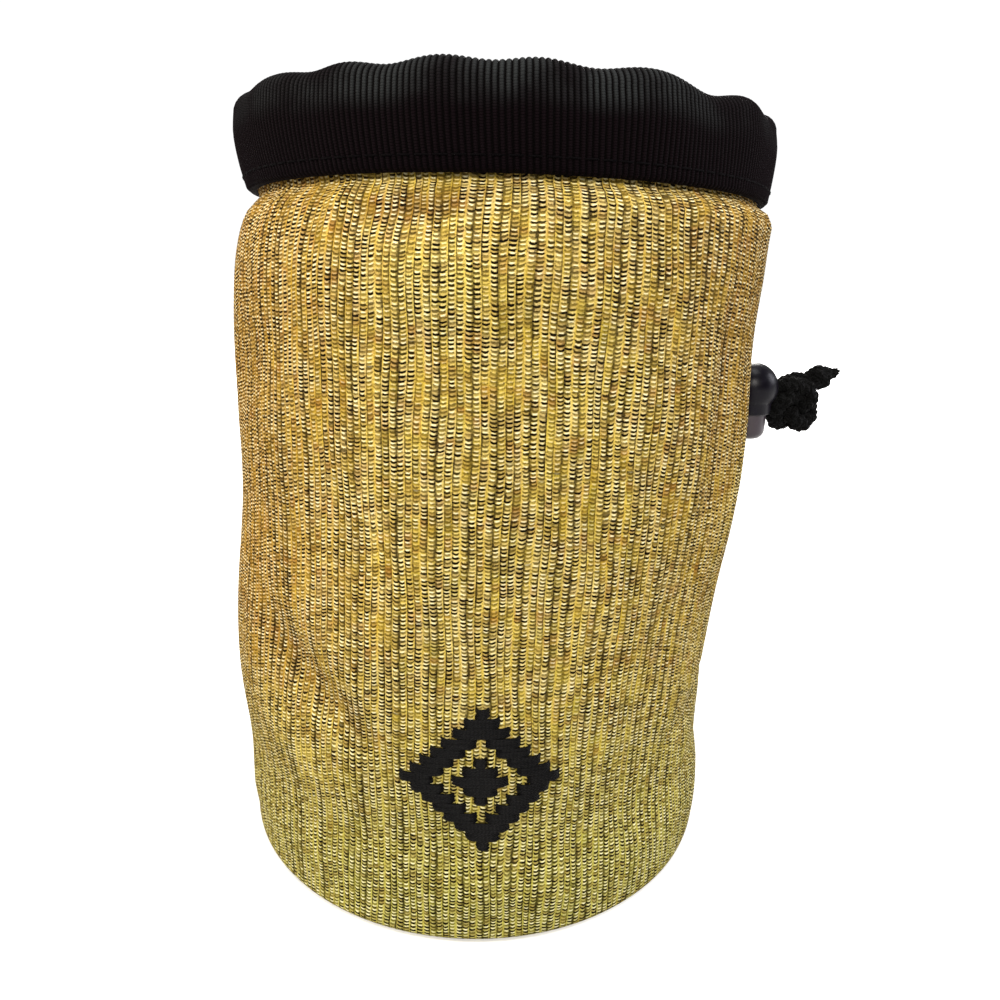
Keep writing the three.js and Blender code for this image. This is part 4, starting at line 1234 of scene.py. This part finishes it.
def drawcord(material):
    """Knitted cord: strands that cross over and under round a core, with a frayed end and loose fibres"""
    chance = np.random.default_rng(3)
    path = cord_route()
    along = unit(np.gradient(path, axis=0))
    normal = carried_normals(along)
    side = np.cross(along, normal)
    run = run_of(path)
    lock_end = LOCK_STANDOFF + LOCK_RADIUS + WALL
    past_lock = smoothstep(run, lock_end, lock_end + 4)
    flare = smoothstep(run, run[-1] - 7.8, run[-1] - 5.4)
    waist = np.exp(-(((run - run[-1] + 9.0) / 1.4) ** 2))
    taper = 1 - 0.78 * smoothstep(run, run[-1] - 4.4, run[-1])
    swell = (1 + 0.10 * past_lock + 0.50 * flare - 0.22 * waist) * taper
    bulge = 0.1 + 0.2 * past_lock
    skin = Skin()
    middle = (CORD_RADIUS - STRAND_RADIUS) * swell
    skin.tube(path[::2], middle[::2] + 0.1, 10)
    for way in (1, -1):
        for k in range(STRANDS):
            turn = way * 2 * math.pi * run / STRAND_LEAD + 2 * math.pi * k / STRANDS
            crossing = math.pi * 2 * STRANDS * run / STRAND_LEAD + math.pi * k
            radius = middle + bulge * way * np.cos(crossing)
            offset = np.cos(turn)[:, None] * normal + np.sin(turn)[:, None] * side
            bumps = 1 + 0.75 * (bulge - 0.08) * way * np.cos(crossing)
            skin.tube(path + offset * radius[:, None], STRAND_RADIUS * swell * bumps, 6)
    place = np.stack([normal, side], axis=1)
    scatter_fibres(skin, chance, path, along, place, swell)
    fray(skin, chance, path, along, place)
    piece = settle(skin.build("drawcord_braid", [material]), cord_matrix())
    line = [cord_matrix() @ Vector(p * MM) for p in path[::4]] + [cord_matrix() @ Vector(path[-1] * MM)]
    return piece, line, run[-1] * MM


def scatter_fibres(skin, chance, path, along, place, swell):
    """Short loose fibres all over the cord"""
    at = chance.integers(8, len(path) - 1, FIBRES)
    turn = chance.uniform(0, 2 * math.pi, FIBRES)[:, None]
    out = np.cos(turn) * place[at, 0] + np.sin(turn) * place[at, 1]
    aside = along[at] * chance.uniform(-0.9, 0.9, (FIBRES, 1))
    aside = aside + np.cross(out, along[at]) * chance.uniform(-0.9, 0.9, (FIBRES, 1))
    foot = path[at] + out * (CORD_RADIUS * swell[at] - 0.2)[:, None]
    tip = foot + (out + aside) * chance.uniform(0.35, 0.85, (FIBRES, 1))
    in_lock = np.abs(at * CORD_STEP - WALL - LOCK_STANDOFF) < LOCK_RADIUS
    needles(skin, foot[~in_lock], tip[~in_lock])


def fray(skin, chance, path, along, place):
    """Cut end of the cord: tufts that leave the tapering end at all sides"""
    for _ in range(TUFTS):
        back = chance.uniform(0, FRAYED)
        at = len(path) - 1 - int(back / CORD_STEP)
        turn = chance.uniform(0, 2 * math.pi)
        out = math.cos(turn) * place[at, 0] + math.sin(turn) * place[at, 1]
        foot = path[at] + out * (0.35 + 0.42 * min(back, 4.4))
        tip = foot + along[at] * chance.uniform(0.8, 1.7) + out * chance.uniform(0.1, 0.5)
        bend = (foot + tip) / 2 + out * chance.uniform(0, 0.3)
        skin.tube(smooth_route([foot, bend, tip], 3), np.linspace(0.36, 0.16, 7), 5)


def needles(skin, foot, tip):
    """Thin three-sided fibres, closed at the foot"""
    along = unit(tip - foot)
    a = unit(np.cross(along, [0.31, 0.52, 0.79]))
    b = np.cross(along, a)
    corners = [foot + FIBRE_RADIUS * (math.cos(t) * a + math.sin(t) * b) for t in (0, 2.0944, 4.1888)]
    ids = skin.put(np.stack([*corners, tip], axis=1)).reshape(-1, 4)
    for trio in ([0, 1, 3], [1, 2, 3], [2, 0, 3], [0, 2, 1]):
        skin.face(ids[:, trio])


def make_camera():
    data = bpy.data.cameras.new("camera")
    data.sensor_width = SENSOR
    data.lens = SENSOR * FOCAL_SHARE
    data.clip_start = 0.01
    camera = bpy.data.objects.new("camera", data)
    pitch, roll = math.radians(CAMERA_PITCH), math.radians(CAMERA_ROLL)
    forward = Vector((0, math.cos(pitch), -math.sin(pitch)))
    level_up = Vector((0, math.sin(pitch), math.cos(pitch)))
    right = Vector((1, 0, 0)) * math.cos(roll) + level_up * math.sin(roll)
    up = level_up * math.cos(roll) - Vector((1, 0, 0)) * math.sin(roll)
    turn = Matrix((right, up, -forward)).transposed().to_4x4()
    camera.matrix_world = Matrix.Translation(CAMERA_PLACE * MM) @ turn
    bpy.context.scene.collection.objects.link(camera)
    bpy.context.scene.camera = camera


# Soft lights: place and aim in metres, size in metres, power in watts
LIGHTS = table(
    "name place aim size power tint",
    ("key", (-0.15, -1.3, 0.85), (0, 0, 0.1), 0.6, 24, (255, 250, 242)),
    ("left", (-1.3, -0.1, 0.7), (0, 0, 0.09), 0.7, 11, (255, 244, 230)),
    ("right", (1.3, 0.1, 0.7), (0, 0, 0.09), 0.7, 12, (246, 246, 255)),
    ("top", (0.0, -0.1, 1.5), (0, 0, 0.1), 0.8, 14, (255, 255, 255)),
    ("back", (0.3, 1.3, 0.85), (0, 0, 0.1), 0.7, 19, (255, 252, 246)),
)


def make_lights():
    for row in LIGHTS:
        data = bpy.data.lights.new(row["name"], "AREA")
        data.shape = "DISK"
        data.size = row["size"]
        data.energy = row["power"]
        data.color = rgb(*row["tint"])[:3]
        light = bpy.data.objects.new(row["name"], data)
        light.location = row["place"]
        toward = Vector(row["aim"]) - Vector(row["place"])
        light.rotation_euler = toward.to_track_quat("-Z", "Y").to_euler()
        bpy.context.scene.collection.objects.link(light)
    world = bpy.data.worlds.new("studio")
    world.use_nodes = True
    background = world.node_tree.nodes["Background"]
    background.inputs["Color"].default_value = (1, 1, 1, 1)
    path = world.node_tree.nodes.new("ShaderNodeLightPath")
    strength = world.node_tree.nodes.new("ShaderNodeMapRange")
    strength.inputs["To Min"].default_value = 0.3
    strength.inputs["To Max"].default_value = 1.05
    world.node_tree.links.new(path.outputs["Is Camera Ray"], strength.inputs["Value"])
    world.node_tree.links.new(strength.outputs[0], background.inputs["Strength"])
    bpy.context.scene.world = world


def make_floor():
    """White floor that turns into the white surroundings away from the bag"""
    skin = Skin()
    turn = circle(ROUND)
    radius = np.array([[40], [200], [500], [900], [2000], [6000], [40000]])
    rings = np.stack([radius * np.cos(turn), radius * np.sin(turn), 0 * radius + 0 * turn], axis=-1)
    ids = skin.put(rings).reshape(rings.shape[:2])
    skin.grid(ids, np.zeros((len(radius), ROUND + 1, 2)), closed=True, flip=True)
    skin.fan(ids[0], (0, 0, 0), (0, 0))
    s = Shader("floor")
    far = s.node("ShaderNodeVectorMath", {0: s.place()}, operation="LENGTH").outputs["Value"]
    white = s.finish(
        base_color=(0.98, 0.98, 0.98, 1),
        roughness=0.9,
        specular_ior_level=0.1,
        emission_color=(1, 1, 1, 1),
        emission_strength=s.rise(far, 0.3, 0.9),
    )
    floor = skin.build("floor", [white], sharp=0)
    floor.visible_diffuse = False


def dress(piece, body, slot, *nodes):
    """Puts a piece on its CAD body in place of the nodes it stands for"""
    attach(piece, body)
    if nodes:
        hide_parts(*nodes)
    return piece


bpy.context.scene.view_settings.view_transform = "Standard"
make_camera()

yarn = yarn_material("cord_yarn", rgb(2, 2, 2), rgb(15, 15, 15), 0.9, 0.01, 1.3, 0.06)
lock_plastic = hard_material("lock_plastic", rgb(4, 2, 9), rgb(20, 15, 32), 0.3, 0.11)
button_plastic = hard_material("button_plastic", rgb(48, 39, 45), rgb(68, 58, 66), 0.28, 0.3)

cord, cord_line, cord_length = drawcord(yarn)
ball = lock_ball(lock_plastic)
plunger = lock_button(button_plastic)
dress(cord, "bag", "cord_yarn", "drawcord", "knot")
dress(ball, "bag", "lock_plastic", "lock_body")
dress(plunger, "button", "button_plastic", "lock_button")
tuple(cord_matrix().translation)

chenille = chenille_material("chenille")
backing = backing_material("backing")
thread = yarn_material("embroidery_thread", rgb(1, 1, 1), rgb(9, 8, 9), 0.45, 0.0, 2.2, 0.07)
sewing = yarn_material("sewing_thread", rgb(2, 1, 2), rgb(11, 8, 9), 0.8, 0.0, 0.8, 0.03)
rim_stuff = webbing_material("rim_webbing", RIM_FOLD)
loop_stuff = webbing_material("loop_webbing", LOOP_FOLD)
channel_stuff = weave_material("channel_cloth", 0.7, rgb(24, 22, 20), rgb(58, 54, 50))
metal = hard_material("eyelet_metal", rgb(18, 18, 20), rgb(84, 82, 80), 0.36, 0.3)

body = dress(body_cloth([chenille, backing]), "bag", "chenille", "shell")
base = dress(base_cloth([chenille, backing]), "bag", "base_cloth", "base_panel")
rim = dress(rim_webbing(rim_stuff), "bag", "rim_webbing", "rim_binding")
rim_thread = dress(rim_stitches(sewing), "bag", "rim_webbing")
channel = dress(cord_channel(channel_stuff), "bag", "channel_cloth", "cord_channel")
strap = dress(belt_loop(loop_stuff), "bag", "loop_webbing", "belt_loop")
tacks = dress(loop_tacks(sewing), "bag", "loop_webbing")
dress(motif_threads("motif_border_threads", 5, 7, thread), "bag", "embroidery", "motif_border")
dress(motif_threads("motif_centre_threads", 0, 2, thread), "bag", "embroidery", "motif_centre")
dress(eyelet(metal), "bag", "eyelet_metal", "eyelet")

make_lights()
make_floor()
